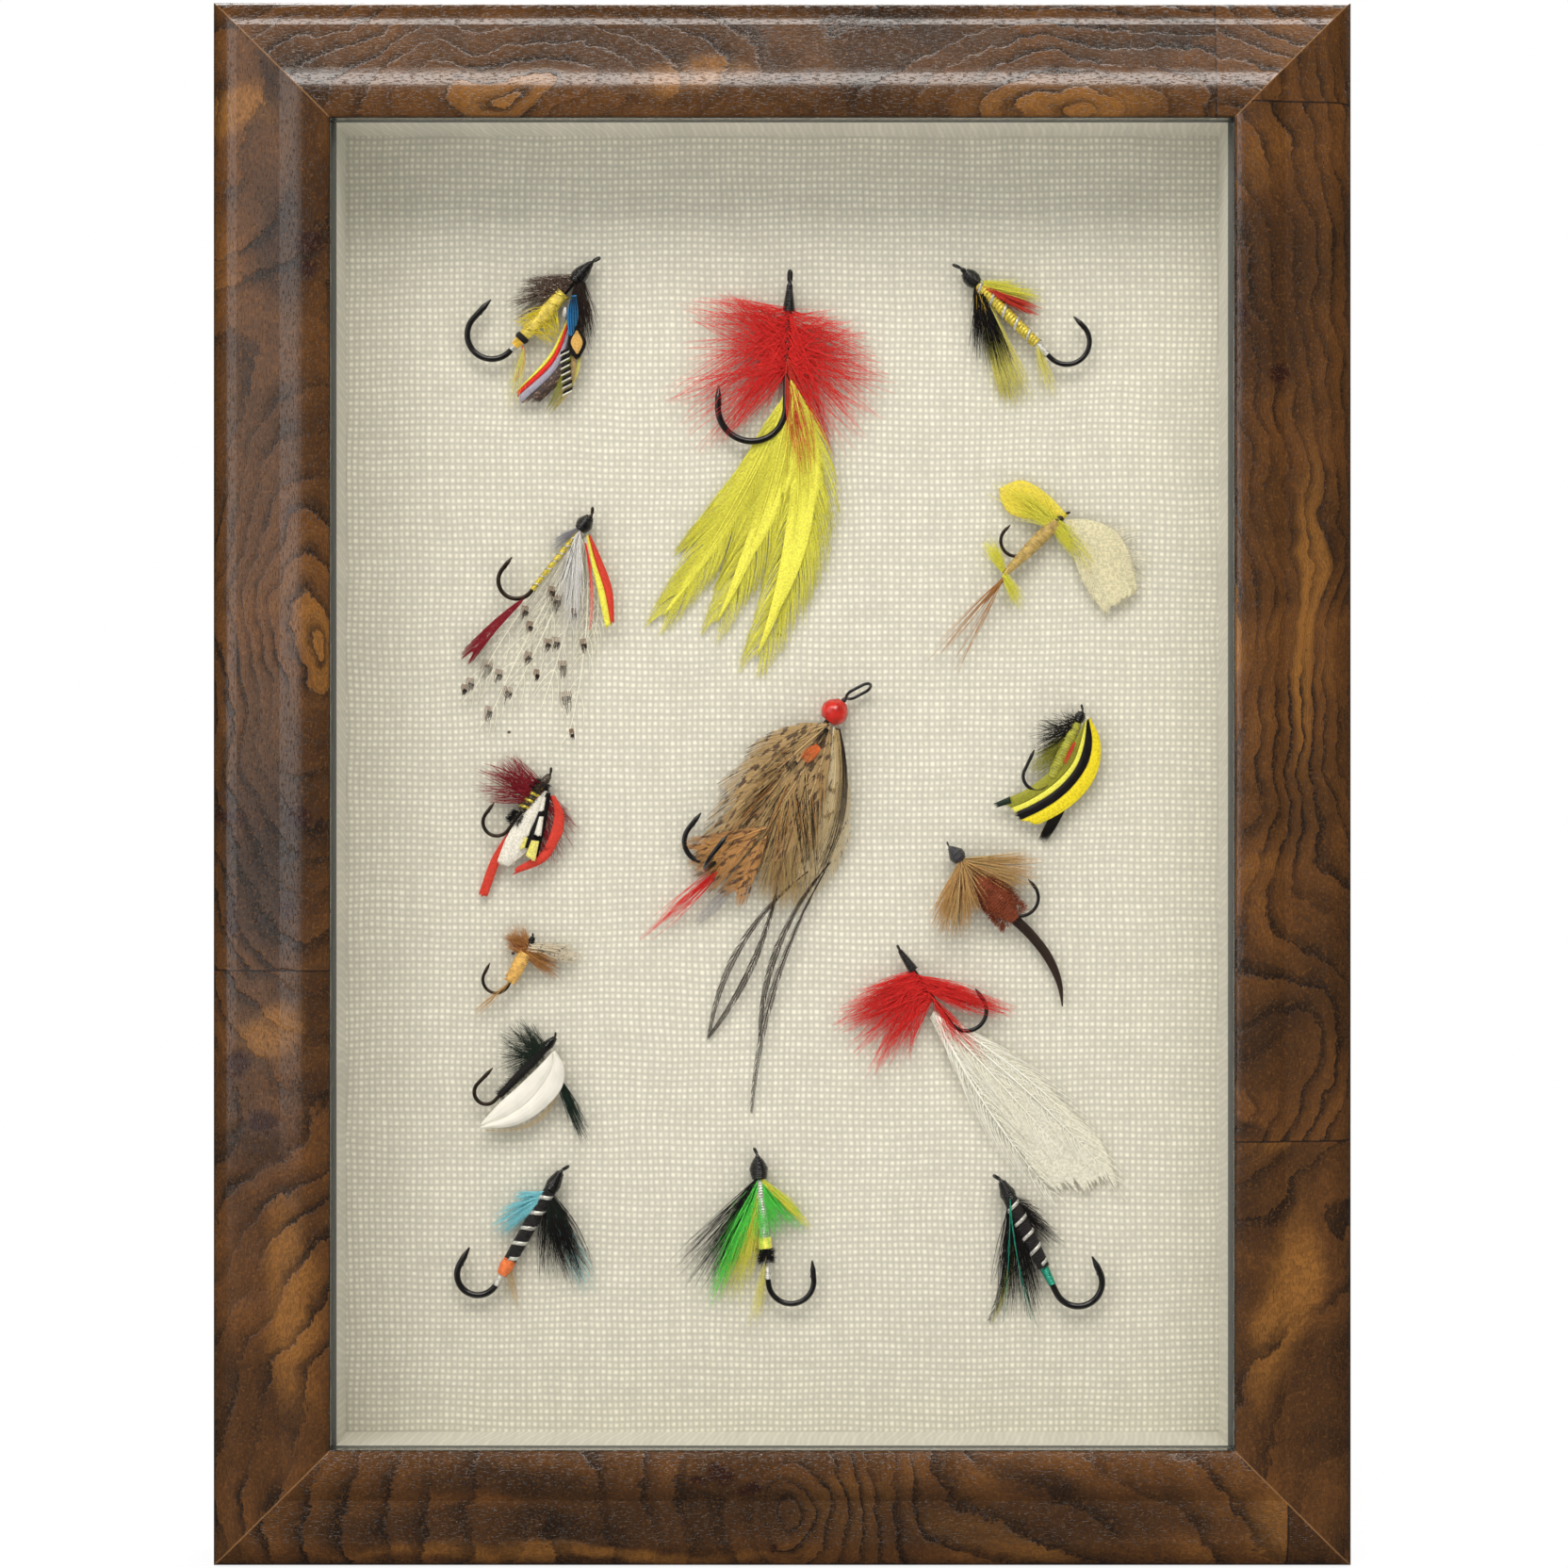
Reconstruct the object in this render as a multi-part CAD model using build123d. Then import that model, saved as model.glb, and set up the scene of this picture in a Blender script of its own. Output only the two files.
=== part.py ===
from build123d import *
import math
import os

# A wall-hung shadow-box frame: four mitred, veneered rails round a glazed box lined with linen,
# with fifteen dressed fishing flies on the linen. Millimetres, X right, Y away from the viewer, Z up.
# The origin is the middle of the flat bottom face. "Height" is measured forward from the rails' back.

# Frame
frame_width = 255.8
frame_height = 351.4
rail_width = 27.0
side_depth = 26.0  # flat outer side, from the back to the shoulder
shoulder_radius = 7.5
shoulder_tilt = 12.0  # degrees short of flat where the shoulder ends
crease_offset = 15.7  # from the outer side to the crease
cove_rise = 1.3  # climb from the end of the shoulder to the crease
roll_radius = 12.0
roll_tilt = 30.0  # degrees short of flat at the foot of the inner roll
lip_round = 0.6
ledge_height = 31.0  # back of the lip, where the glass lies
rabbet_width = 5.0

# What the rabbet holds
fit_clearance = 0.3  # round each sheet and board in the rabbet
glass_thickness = 2.0
backing_thickness = 3.0
mount_thickness = 3.0
linen_thickness = 0.6
side_liner_proud = 0.8  # how far the side liners show inside the sight edge
end_liner_proud = 0.1
liner_edge_round = 1.5

# Corner wedges
nail_leg = 4.0
nail_gauge = 0.6
nail_length = 8.0
nail_recess = 0.3
nail_offsets = (7.0, 14.5)  # from the outer sides, along the mitre

# Turn buttons and their screws
button_length = 24.0
button_width = 9.0
button_gauge = 1.2
button_edge_round = 0.4
button_gap = 0.25  # to the wood behind and the screw head in front
button_overlap = 5.5  # reach over the backing board
pin_clearance = 0.1
screw_radius = 1.4
screw_length = 11.0
screw_head_radius = 2.9
screw_head_rise = 1.4
screw_slot_width = 0.7
screw_slot_depth = 0.6
screw_point_radius = 0.35
screw_crown_round = 1.1
pilot_clearance = 0.02

# D-ring hangers
hanger_drop = 88.0  # from the top of the frame to the hangers
hanger_inset = 3.0  # from the outer side to the strap's end
strap_width = 9.0
strap_gauge = 1.0
strap_gap = 0.1
strap_screw_inset = 5.0
strap_corner = 3.0
barrel_radius = 2.2
ring_wire = 2.0
ring_clearance = 0.1
ring_span = 16.0  # along the barrel, middle to middle of the wire
ring_reach = 10.5  # from the barrel's middle to the far wire's middle
ring_corner = 2.2
ring_shoulder_share = 0.6  # of the reach, where the D's sides start to close
ring_nose_share = 0.45  # of the half span, the D's flat nose
drill_overrun = 1.0  # past each face, for cuts right through

# Bumper pads
pad_radius = 5.0
pad_thickness = 4.5
pad_offset = 30.0  # from the frame's side, along the end rails

# Flies
shank_height = 3.0  # middle of the hook wire above the linen
fly_seat = 0.2  # under the lowest feathers
binding_clearance = 0.03  # between the hook wire and what is bound on it
point_share = 1.6  # the point's length, in wire diameters
barb_share = 1.1  # the barb's length, in wire diameters
barb_lift = 0.6  # how steeply the barb leaves the spear
eye_wire_share = 0.3  # the most that the eye's wire has, as a radius in wire diameters
eye_slim_share = 0.11  # the most that it has against the eye loop's length
eye_width_share = 0.62  # the eye loop's width against its length
eye_tilt = 62.0  # degrees that the loop is turned about its own length
neck_share = 0.5  # the neck's length, in wire diameters
neck_lap_share = 0.15  # how far the shank reaches into the neck, in wire diameters
second_hook_turn = 80.0  # degrees between the two bends of the double hook
second_wire_share = 0.92  # the second bend's wire against the first's

# Worked out from the sizes above
back_y = side_depth / 2
sight_width = frame_width - 2 * rail_width
sight_height = frame_height - 2 * rail_width
inner_offset = rail_width - rabbet_width
pocket_width = frame_width - 2 * inner_offset
pocket_height = frame_height - 2 * inner_offset
linen_face = backing_thickness + mount_thickness + linen_thickness
glass_back = ledge_height - glass_thickness
middle_z = frame_height / 2


def at_height(height):
    """A plane facing the viewer, with X right, Y up and its origin over the bottom face's middle."""
    return Plane(origin=(0, back_y - height, 0), x_dir=(1, 0, 0), z_dir=(0, -1, 0))


def board(width, height, low, high):
    """A sheet centred in the frame, between two heights."""
    blank = Location((0, middle_z)) * Rectangle(width, height)
    return extrude(at_height(low) * blank, high - low)


# Rails


def on_arc(centre, radius, tilt):
    angle = math.radians(tilt)
    return (centre[0] - radius * math.sin(angle), centre[1] + radius * math.cos(angle))


def arc_between(centre, radius, tilt_a, tilt_b):
    middle = on_arc(centre, radius, (tilt_a + tilt_b) / 2)
    return ThreePointArc(on_arc(centre, radius, tilt_a), middle, on_arc(centre, radius, tilt_b))


def rail_profile():
    """The moulding's section: X from the outer side inward, Y from the back forward."""
    shoulder_centre = (shoulder_radius, side_depth)
    shoulder_end = on_arc(shoulder_centre, shoulder_radius, shoulder_tilt)
    crease = (crease_offset, shoulder_end[1] + cove_rise)
    roll_angle = math.radians(roll_tilt)
    roll_centre = (
        crease[0] + roll_radius * math.sin(roll_angle),
        crease[1] - roll_radius * math.cos(roll_angle),
    )
    inner_reach = rail_width - lip_round - roll_centre[0]
    inner_tilt = -math.degrees(math.asin(inner_reach / roll_radius))
    roll_end = on_arc(roll_centre, roll_radius, inner_tilt)
    outline = [
        arc_between(shoulder_centre, shoulder_radius, 90, shoulder_tilt),
        Line(shoulder_end, crease),
        arc_between(roll_centre, roll_radius, roll_tilt, inner_tilt),
        Polyline(
            roll_end,
            (rail_width, roll_end[1] - lip_round),
            (rail_width, ledge_height),
            (inner_offset, ledge_height),
            (inner_offset, 0),
            (0, 0),
            (0, side_depth),
        ),
    ]
    return make_face(outline)


def mitred_rail(length):
    """A rail along X on the frame's bottom side, before it is turned to its own side."""
    along_rail = Plane(origin=(-length / 2, back_y, 0), x_dir=(0, 0, 1), z_dir=(1, 0, 0))
    blank = extrude(along_rail * rail_profile(), length)
    half = length / 2
    mask = Polyline(
        (-half, 0), (half, 0), (half - rail_width, rail_width), (rail_width - half, rail_width), close=True
    )
    return blank & extrude(at_height(0) * make_face(mask), side_depth * 2)


rail_places = {
    "bottom_rail": (frame_width, Location((0, 0, 0))),
    "top_rail": (frame_width, Location((0, 0, frame_height), (0, 180, 0))),
    "left_rail": (frame_height, Location((-frame_width / 2, 0, middle_z), (0, 90, 0))),
    "right_rail": (frame_height, Location((frame_width / 2, 0, middle_z), (0, -90, 0))),
}


# Corner wedges


def nail(x, z, across, up, low, high):
    """A V of steel strip with one leg in each rail, its fold on the mitre."""
    g = nail_gauge
    corners = [(0, 0), (nail_leg, 0), (nail_leg, g), (g, g), (g, nail_leg), (0, nail_leg)]
    outline = Polyline([(x + across * a, z + up * b) for a, b in corners], close=True)
    return extrude(at_height(low) * make_face(outline), high - low)


def all_nails(low, high):
    solids = []
    for across in (-1, 1):
        for up in (-1, 1):
            for offset in nail_offsets:
                x = across * (frame_width / 2 - offset)
                z = middle_z + up * (middle_z - offset)
                solids.append(nail(x, z, -across, -up, low, high))
    return solids


# Turn buttons, hangers and screws

button_seat = -button_gap
button_back = button_seat - button_gauge
button_offset = inner_offset + button_overlap - button_length / 2  # pivot from the outer side
button_places = {
    "top_turn_button": (0, frame_height - button_offset, 90),
    "bottom_turn_button": (0, button_offset, 90),
    "left_turn_button": (button_offset - frame_width / 2, middle_z, 0),
    "right_turn_button": (frame_width / 2 - button_offset, middle_z, 0),
}
strap_back = -strap_gap - strap_gauge
barrel_height = -strap_gap - barrel_radius
barrel_x = frame_width / 2 - inner_offset + barrel_radius + ring_wire / 2
hanger_z = frame_height - hanger_drop
hanger_screw_x = frame_width / 2 - hanger_inset - strap_screw_inset


def turn_button(x, z, angle):
    blank = SlotOverall(button_length, button_width) - Circle(screw_radius + pin_clearance)
    plate = extrude(at_height(button_back) * Location((x, z), angle) * blank, button_gauge)
    rim = plate.faces().sort_by(Axis.Y)[-1].outer_wire().edges()
    return chamfer(rim, button_edge_round)


def screw(x, z, seat):
    """A slotted round-head screw driven forward into the wood, its head's underside at seat."""
    tip = seat + screw_length
    shank = extrude(at_height(seat) * Location((x, z)) * Circle(screw_radius), screw_length - screw_radius)
    cone = loft([
        at_height(tip - screw_radius) * Location((x, z)) * Circle(screw_radius),
        at_height(tip) * Location((x, z)) * Circle(screw_point_radius),
    ])
    head = extrude(at_height(seat) * Location((x, z)) * Circle(screw_head_radius), -screw_head_rise)
    crown = head.faces().sort_by(Axis.Y)[-1].edges()
    head = fillet(crown, screw_crown_round)
    slot_face = at_height(seat - screw_head_rise) * Location((x, z))
    slot = extrude(slot_face * Rectangle(screw_head_radius * 3, screw_slot_width), screw_slot_depth)
    return shank + cone + head - slot


def pilot_hole(x, z):
    hole = at_height(-drill_overrun) * Location((x, z)) * Circle(screw_radius + pilot_clearance)
    return extrude(hole, screw_length + 2 * drill_overrun)


button_screw_seat = button_back - button_gap
hanger_screw_seat = strap_back - strap_gap
button_screw_spots = [(x, z) for x, z, _ in button_places.values()]
hanger_screw_spots = [(-hanger_screw_x, hanger_z), (hanger_screw_x, hanger_z)]


def hanger_plate(side):
    """A brass strap on the rail's back whose inner end is rolled round the ring's bar."""
    outer = frame_width / 2 - hanger_inset
    length = outer - barrel_x
    middle = side * (outer + barrel_x) / 2
    blank = Location((middle, hanger_z)) * Rectangle(length, strap_width)
    strap = extrude(at_height(strap_back) * blank, strap_gauge)
    end = strap.edges().filter_by(Axis.Y).sort_by(Axis.X)
    strap = fillet(end[:2] if side < 0 else end[-2:], strap_corner)
    axis_plane = Plane(origin=(side * barrel_x, back_y - barrel_height, hanger_z - strap_width / 2))
    barrel = extrude(axis_plane * Circle(barrel_radius), strap_width)
    bore = extrude(axis_plane * Circle(ring_wire / 2 + ring_clearance), strap_width)
    drill = at_height(strap_back - drill_overrun) * Location((side * hanger_screw_x, hanger_z))
    screw_hole = extrude(drill * Circle(screw_radius + pin_clearance), strap_gauge + 2 * drill_overrun)
    return strap + barrel - bore - screw_hole


def hanger_ring(side):
    """A D of round wire whose straight bar lies in the strap's barrel, pointing to the frame's middle."""
    half = ring_span / 2
    shoulder = -ring_reach * ring_shoulder_share
    nose = half * ring_nose_share
    corners = [
        (0, half), (shoulder, half), (-ring_reach, nose),
        (-ring_reach, -nose), (shoulder, -half), (0, -half),
    ]
    points = [(side * (barrel_x + x), back_y - barrel_height, hanger_z + z) for x, z in corners]
    path = FilletPolyline(*points, radius=ring_corner, close=True)
    start = path @ 0
    section = Plane(origin=start, z_dir=path % 0) * Circle(ring_wire / 2)
    return sweep(section, path=path)


# Fly parts. A fly lies in a plane with its hook's eye at (0, 0), X right and Y up, and heights
# above the linen. build() turns that into the frame, once its place on the linen is known.


def local_plane(height):
    return Plane(origin=(0, -height, 0), x_dir=(1, 0, 0), z_dir=(0, -1, 0))


def spot(point, height=shank_height):
    return Vector(point[0], -height, point[1])


def plate(points, low, high):
    """A flat mass of feather or hair with a straight-sided outline."""
    return extrude(local_plane(low) * make_face(Polyline(points, close=True)), high - low)


def feather(root, tip, width, low, high, bow=0.0):
    """A lens-shaped feather from root to tip, its middle pushed sideways by bow."""
    dx, dy = tip[0] - root[0], tip[1] - root[1]
    length = math.hypot(dx, dy)
    mid_x, mid_y = (root[0] + tip[0]) / 2, (root[1] + tip[1]) / 2

    def beside(offset):
        return (mid_x - dy / length * offset, mid_y + dx / length * offset)

    sides = [
        ThreePointArc(root, beside(bow + width / 2), tip),
        ThreePointArc(tip, beside(bow - width / 2), root),
    ]
    return extrude(local_plane(low) * make_face(sides), high - low)


def hackle(root, tips, low, high, notch=0.62):
    """A fan of fibres: pointed tips with notches between them, all from one root."""
    points = [root, tips[0]]
    for a, b in zip(tips, tips[1:]):
        between = ((a[0] + b[0]) / 2, (a[1] + b[1]) / 2)
        points.append((
            root[0] + (between[0] - root[0]) * notch,
            root[1] + (between[1] - root[1]) * notch,
        ))
        points.append(b)
    return plate(points, low, high)


def on_shank(shank_end, distance):
    """The point at a distance from the eye, on the line from the eye through the shank's end."""
    share = distance / math.hypot(*shank_end)
    return (shank_end[0] * share, shank_end[1] * share)


def winding(shank_end, start, end, radius_a, radius_b=None):
    """A round stretch of head or body wound on the shank, between two distances from the eye."""
    first, last = spot(on_shank(shank_end, start)), spot(on_shank(shank_end, end))
    base = Plane(origin=first, z_dir=last - first)
    if radius_b is None:
        return Solid.make_cylinder(radius_a, end - start, plane=base)
    return Solid.make_cone(radius_a, radius_b, end - start, plane=base)


def ribs(shank_end, start, end, radius, count, gauge=0.7):
    """Turns of tinsel round a body, as narrow rings."""
    pitch = (end - start) / count
    middles = [start + pitch * (i + 0.5) for i in range(count)]
    return [winding(shank_end, m - gauge / 2, m + gauge / 2, radius) for m in middles]


def knob(shank_end, distance, radius):
    return Location(spot(on_shank(shank_end, distance))) * Sphere(radius)


def hook_way(shank_end, gap, side, turn):
    """A function that places points by their distances along the shank and across the gap."""
    length = math.hypot(*shank_end)
    u = (shank_end[0] / length, shank_end[1] / length)
    n = (side * u[1], -side * u[0])
    lean = math.radians(turn)

    def place(along, across):
        flat = across * math.cos(lean)
        x = u[0] * along + n[0] * flat
        z = u[1] * along + n[1] * flat
        return Vector(x, -shank_height - across * math.sin(lean), z)

    return place, length


def hook_wire(shank_end, gap, spear, side, wire, eye, turn=0.0):
    """The round wire of shank, bend and spear. eye is how far the eye's loop reaches down the shank."""
    place, length = hook_way(shank_end, gap, side, turn)
    start = eye + wire * (neck_share - neck_lap_share)
    path = Wire([
        Line(place(start, 0), place(length, 0)),
        ThreePointArc(place(length, 0), place(length + gap / 2, gap / 2), place(length, gap)),
        Line(place(length, gap), place(length - spear, gap)),
    ])
    section = Plane(origin=place(start, 0), z_dir=place(1, 0) - place(0, 0)) * Circle(wire / 2)
    return sweep(section, path=path)


def hook_bend(shank_end, gap, spear, side, wire, eye, turn=0.0):
    """A hook whose shank starts at the eye, with its point and barb."""
    place, length = hook_way(shank_end, gap, side, turn)
    back = place(0, 0) - place(1, 0)
    tip_plane = Plane(origin=place(length - spear, gap), z_dir=back)
    point = Solid.make_cone(wire / 2, wire / 8, wire * point_share, plane=tip_plane)
    inward = place(0, 0) - place(0, 1)
    barb_way = (inward * barb_lift - back).normalized()
    barb_plane = Plane(origin=place(length - spear + wire * 0.4, gap), z_dir=barb_way)
    barb = Solid.make_cone(wire * 0.35, wire / 10, wire * barb_share, plane=barb_plane)
    return hook_wire(shank_end, gap, spear, side, wire, eye, turn) + point + barb


def hook_eye(shank_end, wire, eye, loop, lean):
    """The eye: a narrow loop of thinner wire that leans from the vertical, and its neck to the shank."""
    place, _ = hook_way(shank_end, 0, 1, 0)
    gauge = min(wire * eye_wire_share, loop * eye_slim_share)
    angle = math.radians(lean)
    tilt = math.radians(eye_tilt)
    way = Vector(math.sin(angle), 0, math.cos(angle))
    across = Vector(math.cos(angle) * math.cos(tilt), math.sin(tilt), -math.sin(angle) * math.cos(tilt))
    middle = place(eye, 0) + way * (loop / 2)
    seat = Plane(origin=middle, x_dir=way, z_dir=way.cross(across))
    path = (seat * SlotOverall(loop - 2 * gauge, loop * eye_width_share - 2 * gauge)).wire()
    ring = sweep(Plane(origin=path @ 0, z_dir=path % 0) * Circle(gauge), path=path)
    start = place(eye, 0) + way * gauge
    neck_way = place(eye + wire * neck_share, 0) - start
    neck = Solid.make_cone(gauge, wire / 2, neck_way.length, plane=Plane(origin=start, z_dir=neck_way))
    return ring + neck


def fly(dressing_pieces, hook_sizes, lean, loop=None, extra_bends=()):
    """One solid hook, and one solid dressing with the wire's way cut through it."""
    wire, eye = hook_sizes["wire"], hook_sizes["eye"]
    hook = hook_eye(hook_sizes["shank_end"], wire, eye, loop or eye, lean) + hook_bend(**hook_sizes)
    for turn in extra_bends:
        thinner = dict(hook_sizes, wire=wire * second_wire_share, eye=eye + wire)
        hook = hook + hook_bend(**thinner, turn=turn)
    dressing = dressing_pieces[0].fuse(*dressing_pieces[1:])
    spear = hook_sizes["spear"] + wire * point_share
    way = dict(hook_sizes, wire=wire + 2 * binding_clearance, spear=spear)
    for turn in (0.0, *extra_bends):
        dressing = dressing - hook_wire(**way, turn=turn)
    return hook, dressing


# Height bands of the feathers, from the linen up
under = (fly_seat, 2.2)
middle = (1.6, 3.2)
over = (2.8, 4.2)
top = (3.8, 5.0)


def barred_salmon_fly():
    end = (-20.36, -22.04)
    head, tail = on_shank(end, 6.9), on_shank(end, 24.9)
    hackle_tips = [
        (-20.9, -14.8), (-21.2, -11.6), (-19.6, -8.3), (-17.8, -6.0),
        (-15.3, -5.2), (-12.6, -4.0), (-9.9, -4.2), (-6.4, -3.8),
    ]
    wing = [
        (-5.0, -6.0), (-2.2, -12.0), (-3.0, -18.0), (-4.3, -24.1), (-8.0, -33.0),
        (-11.8, -36.4), (-18.8, -32.3), (-13.5, -26.5), (-8.8, -21.0), (-6.4, -14.0),
    ]
    dressing = [
        winding(end, 2.9, 7.4, 1.0, 2.2),
        winding(end, 7.4, 25.4, 2.0, 1.7),
        *ribs(end, 7.4, 25.4, 2.15, 5),
        winding(end, 25.4, 28.0, 1.2),
        hackle(head, hackle_tips, *under),
        plate(wing, *middle),
        feather((-4.6, -4.6), (-6.2, -18.5), 3.4, *over),
        feather((-4.9, -16.6), (-4.9, -23.4), 2.8, *over),
        feather(tail, (-20.2, -29.0), 1.8, *under, bow=1.2),
    ]
    sizes = dict(shank_end=end, gap=11.2, spear=3.5, side=1, wire=1.4, eye=2.1)
    return fly(dressing, sizes, lean=62)


def red_and_yellow_streamer():
    end = (-1.02, -31.88)
    left_tips = [(-8.0, -6.5), (-16.5, -5.6), (-24.6, -7.6), (-25.5, -18.0), (-28.0, -29.8), (-24.5, -36.0)]
    left_tips += [(-20.0, -42.0), (-10.0, -38.0)]
    right_tips = [(10.0, -8.0), (17.0, -9.7), (20.5, -19.0), (22.1, -28.3), (18.9, -36.8), (9.8, -42.2)]
    wing = [
        (-2.0, -24.0), (-11.2, -38.7), (-18.1, -51.0), (-19.6, -61.9), (-26.5, -75.3), (-29.3, -79.6),
        (-21.0, -76.5), (-16.8, -80.7), (-12.0, -79.0), (-7.7, -88.5), (-3.4, -79.2), (-0.3, -68.8),
        (3.1, -58.0), (4.4, -38.7), (2.0, -24.0),
    ]
    dressing = [
        winding(end, 4.1, 9.3, 1.0, 2.0),
        winding(end, 9.3, 26.0, 2.4, 1.8),
        hackle((-0.3, -14.4), left_tips, *under),
        hackle((-0.3, -15.6), right_tips, *under),
        plate(wing, *middle),
        feather((-1.2, -24.0), (-24.0, -76.0), 8.0, *over, bow=3.0),
        feather((0.4, -24.0), (-6.4, -84.0), 7.0, *over, bow=5.0),
    ]
    sizes = dict(shank_end=end, gap=15.5, spear=2.3, side=1, wire=1.5, eye=3.2)
    return fly(dressing, sizes, lean=2)


def gilt_hair_fly():
    end = (22.06, -22.06)
    tail = on_shank(end, 26.8)
    wing = [
        (5.2, -5.0), (5.8, -12.0), (9.0, -19.5), (12.0, -26.0),
        (14.4, -31.6), (14.6, -24.0), (12.6, -15.0),
    ]
    dressing = [
        winding(end, 2.9, 7.2, 1.0, 1.9),
        winding(end, 7.2, 27.3, 1.35),
        *ribs(end, 7.2, 27.3, 1.55, 9),
        winding(end, 27.3, 30.4, 1.15),
        plate(wing, *under),
        feather((5.0, -3.4), (19.6, -8.0), 3.2, *middle, bow=1.2),
        feather((5.0, -4.0), (19.0, -13.0), 3.0, *middle, bow=1.0),
        feather(tail, (22.4, -31.4), 2.2, *under, bow=1.4),
    ]
    sizes = dict(shank_end=end, gap=10.4, spear=1.1, side=-1, wire=1.2, eye=2.2)
    return fly(dressing, sizes, lean=-67)


def fan_wing_fly():
    end = (-15.18, -19.1)
    head = on_shank(end, 5.2)
    wing = [
        (-1.6, -4.6), (1.6, -13.0), (3.6, -28.0), (0.6, -37.0),
        (-3.6, -46.0), (-6.6, -53.0), (-12.5, -48.0),
        (-18.0, -52.5), (-21.0, -47.5), (-25.2, -48.9), (-25.0, -43.5), (-30.0, -43.3), (-27.0, -36.0),
        (-19.0, -26.0), (-8.0, -14.0),
    ]
    dressing = [
        winding(end, 2.4, 5.2, 1.0, 2.1),
        winding(end, 5.2, 23.6, 1.5, 1.1),
        *ribs(end, 5.2, 23.6, 1.65, 7),
        plate(wing, *under),
        feather((-2.2, -5.0), (2.6, -27.7), 1.6, *over, bow=1.6),
        feather((-2.4, -5.0), (0.8, -27.0), 1.4, *over, bow=1.4),
        feather(head, (-11.4, -8.6), 3.2, *middle),
        feather((-14.0, -18.0), (-28.7, -32.9), 2.6, *middle, bow=-1.0),
    ]
    sizes = dict(shank_end=end, gap=8.3, spear=2.0, side=1, wire=1.0, eye=1.8)
    return fly(dressing, sizes, lean=4)


def yellow_mayfly():
    end = (-9.62, -9.62)
    thorax = on_shank(end, 4.0)
    wing = [
        (-1.5, -2.2), (4.0, -3.6), (8.9, -3.7), (12.8, -7.6), (14.6, -13.0), (15.6, -19.0),
        (12.2, -22.0), (8.2, -23.8), (5.0, -20.0), (1.9, -16.2),
    ]
    up_tips = [(-3.4, 3.2), (-8.0, 5.4), (-13.0, 6.0), (-17.3, 5.6), (-15.2, 1.2), (-11.2, -1.4)]
    down_tips = [(7.4, -9.0), (6.8, -14.7), (2.6, -13.6), (-0.4, -11.0)]
    dressing = [
        winding(end, 2.0, 4.0, 0.8, 1.8),
        winding(end, 4.0, 20.0, 1.6, 1.3),
        *ribs(end, 7.0, 20.0, 1.75, 5, gauge=0.5),
        plate(wing, *under),
        hackle(thorax, up_tips, *middle, notch=0.7),
        hackle(thorax, down_tips, *over, notch=0.7),
        feather((-13.6, -14.2), (-33.1, -36.6), 0.9, *middle, bow=1.2),
        feather((-13.6, -14.2), (-26.6, -38.7), 0.9, *middle, bow=-1.0),
        feather((-13.6, -14.2), (-29.2, -29.2), 0.9, *middle, bow=0.8),
    ]
    sizes = dict(shank_end=end, gap=7.0, spear=0.4, side=1, wire=0.8, eye=1.5)
    return fly(dressing, sizes, lean=70)


def crimson_hackle_fly():
    end = (-10.73, -14.2)
    head, collar, tail = on_shank(end, 3.9), on_shank(end, 5.0), on_shank(end, 15.9)
    left_tips = [(-8.4, 3.4), (-13.2, 2.5), (-16.4, -1.0), (-18.4, -4.9), (-16.0, -8.6)]
    right_tips = [(4.4, -9.0), (5.4, -13.0), (4.8, -17.2), (-0.4, -20.9), (-3.2, -23.0)]
    dressing = [
        winding(end, 2.0, 4.4, 0.9, 1.6),
        winding(end, 4.4, 16.4, 1.75, 1.4),
        winding(end, 12.8, 14.6, 1.85),
        hackle(head, left_tips, *under, notch=0.5),
        hackle(collar, right_tips, *under, notch=0.5),
        feather(on_shank(end, 5.5), (-12.3, -20.7), 4.8, *middle),
        feather(on_shank(end, 6.0), (-4.8, -19.4), 4.6, *over),
        feather(head, (-9.5, -23.3), 1.6, *over, bow=6.0),
        feather(tail, (-16.9, -29.1), 2.4, *under, bow=1.4),
    ]
    sizes = dict(shank_end=end, gap=6.3, spear=1.9, side=1, wire=0.85, eye=1.45)
    return fly(dressing, sizes, lean=2)


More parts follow.
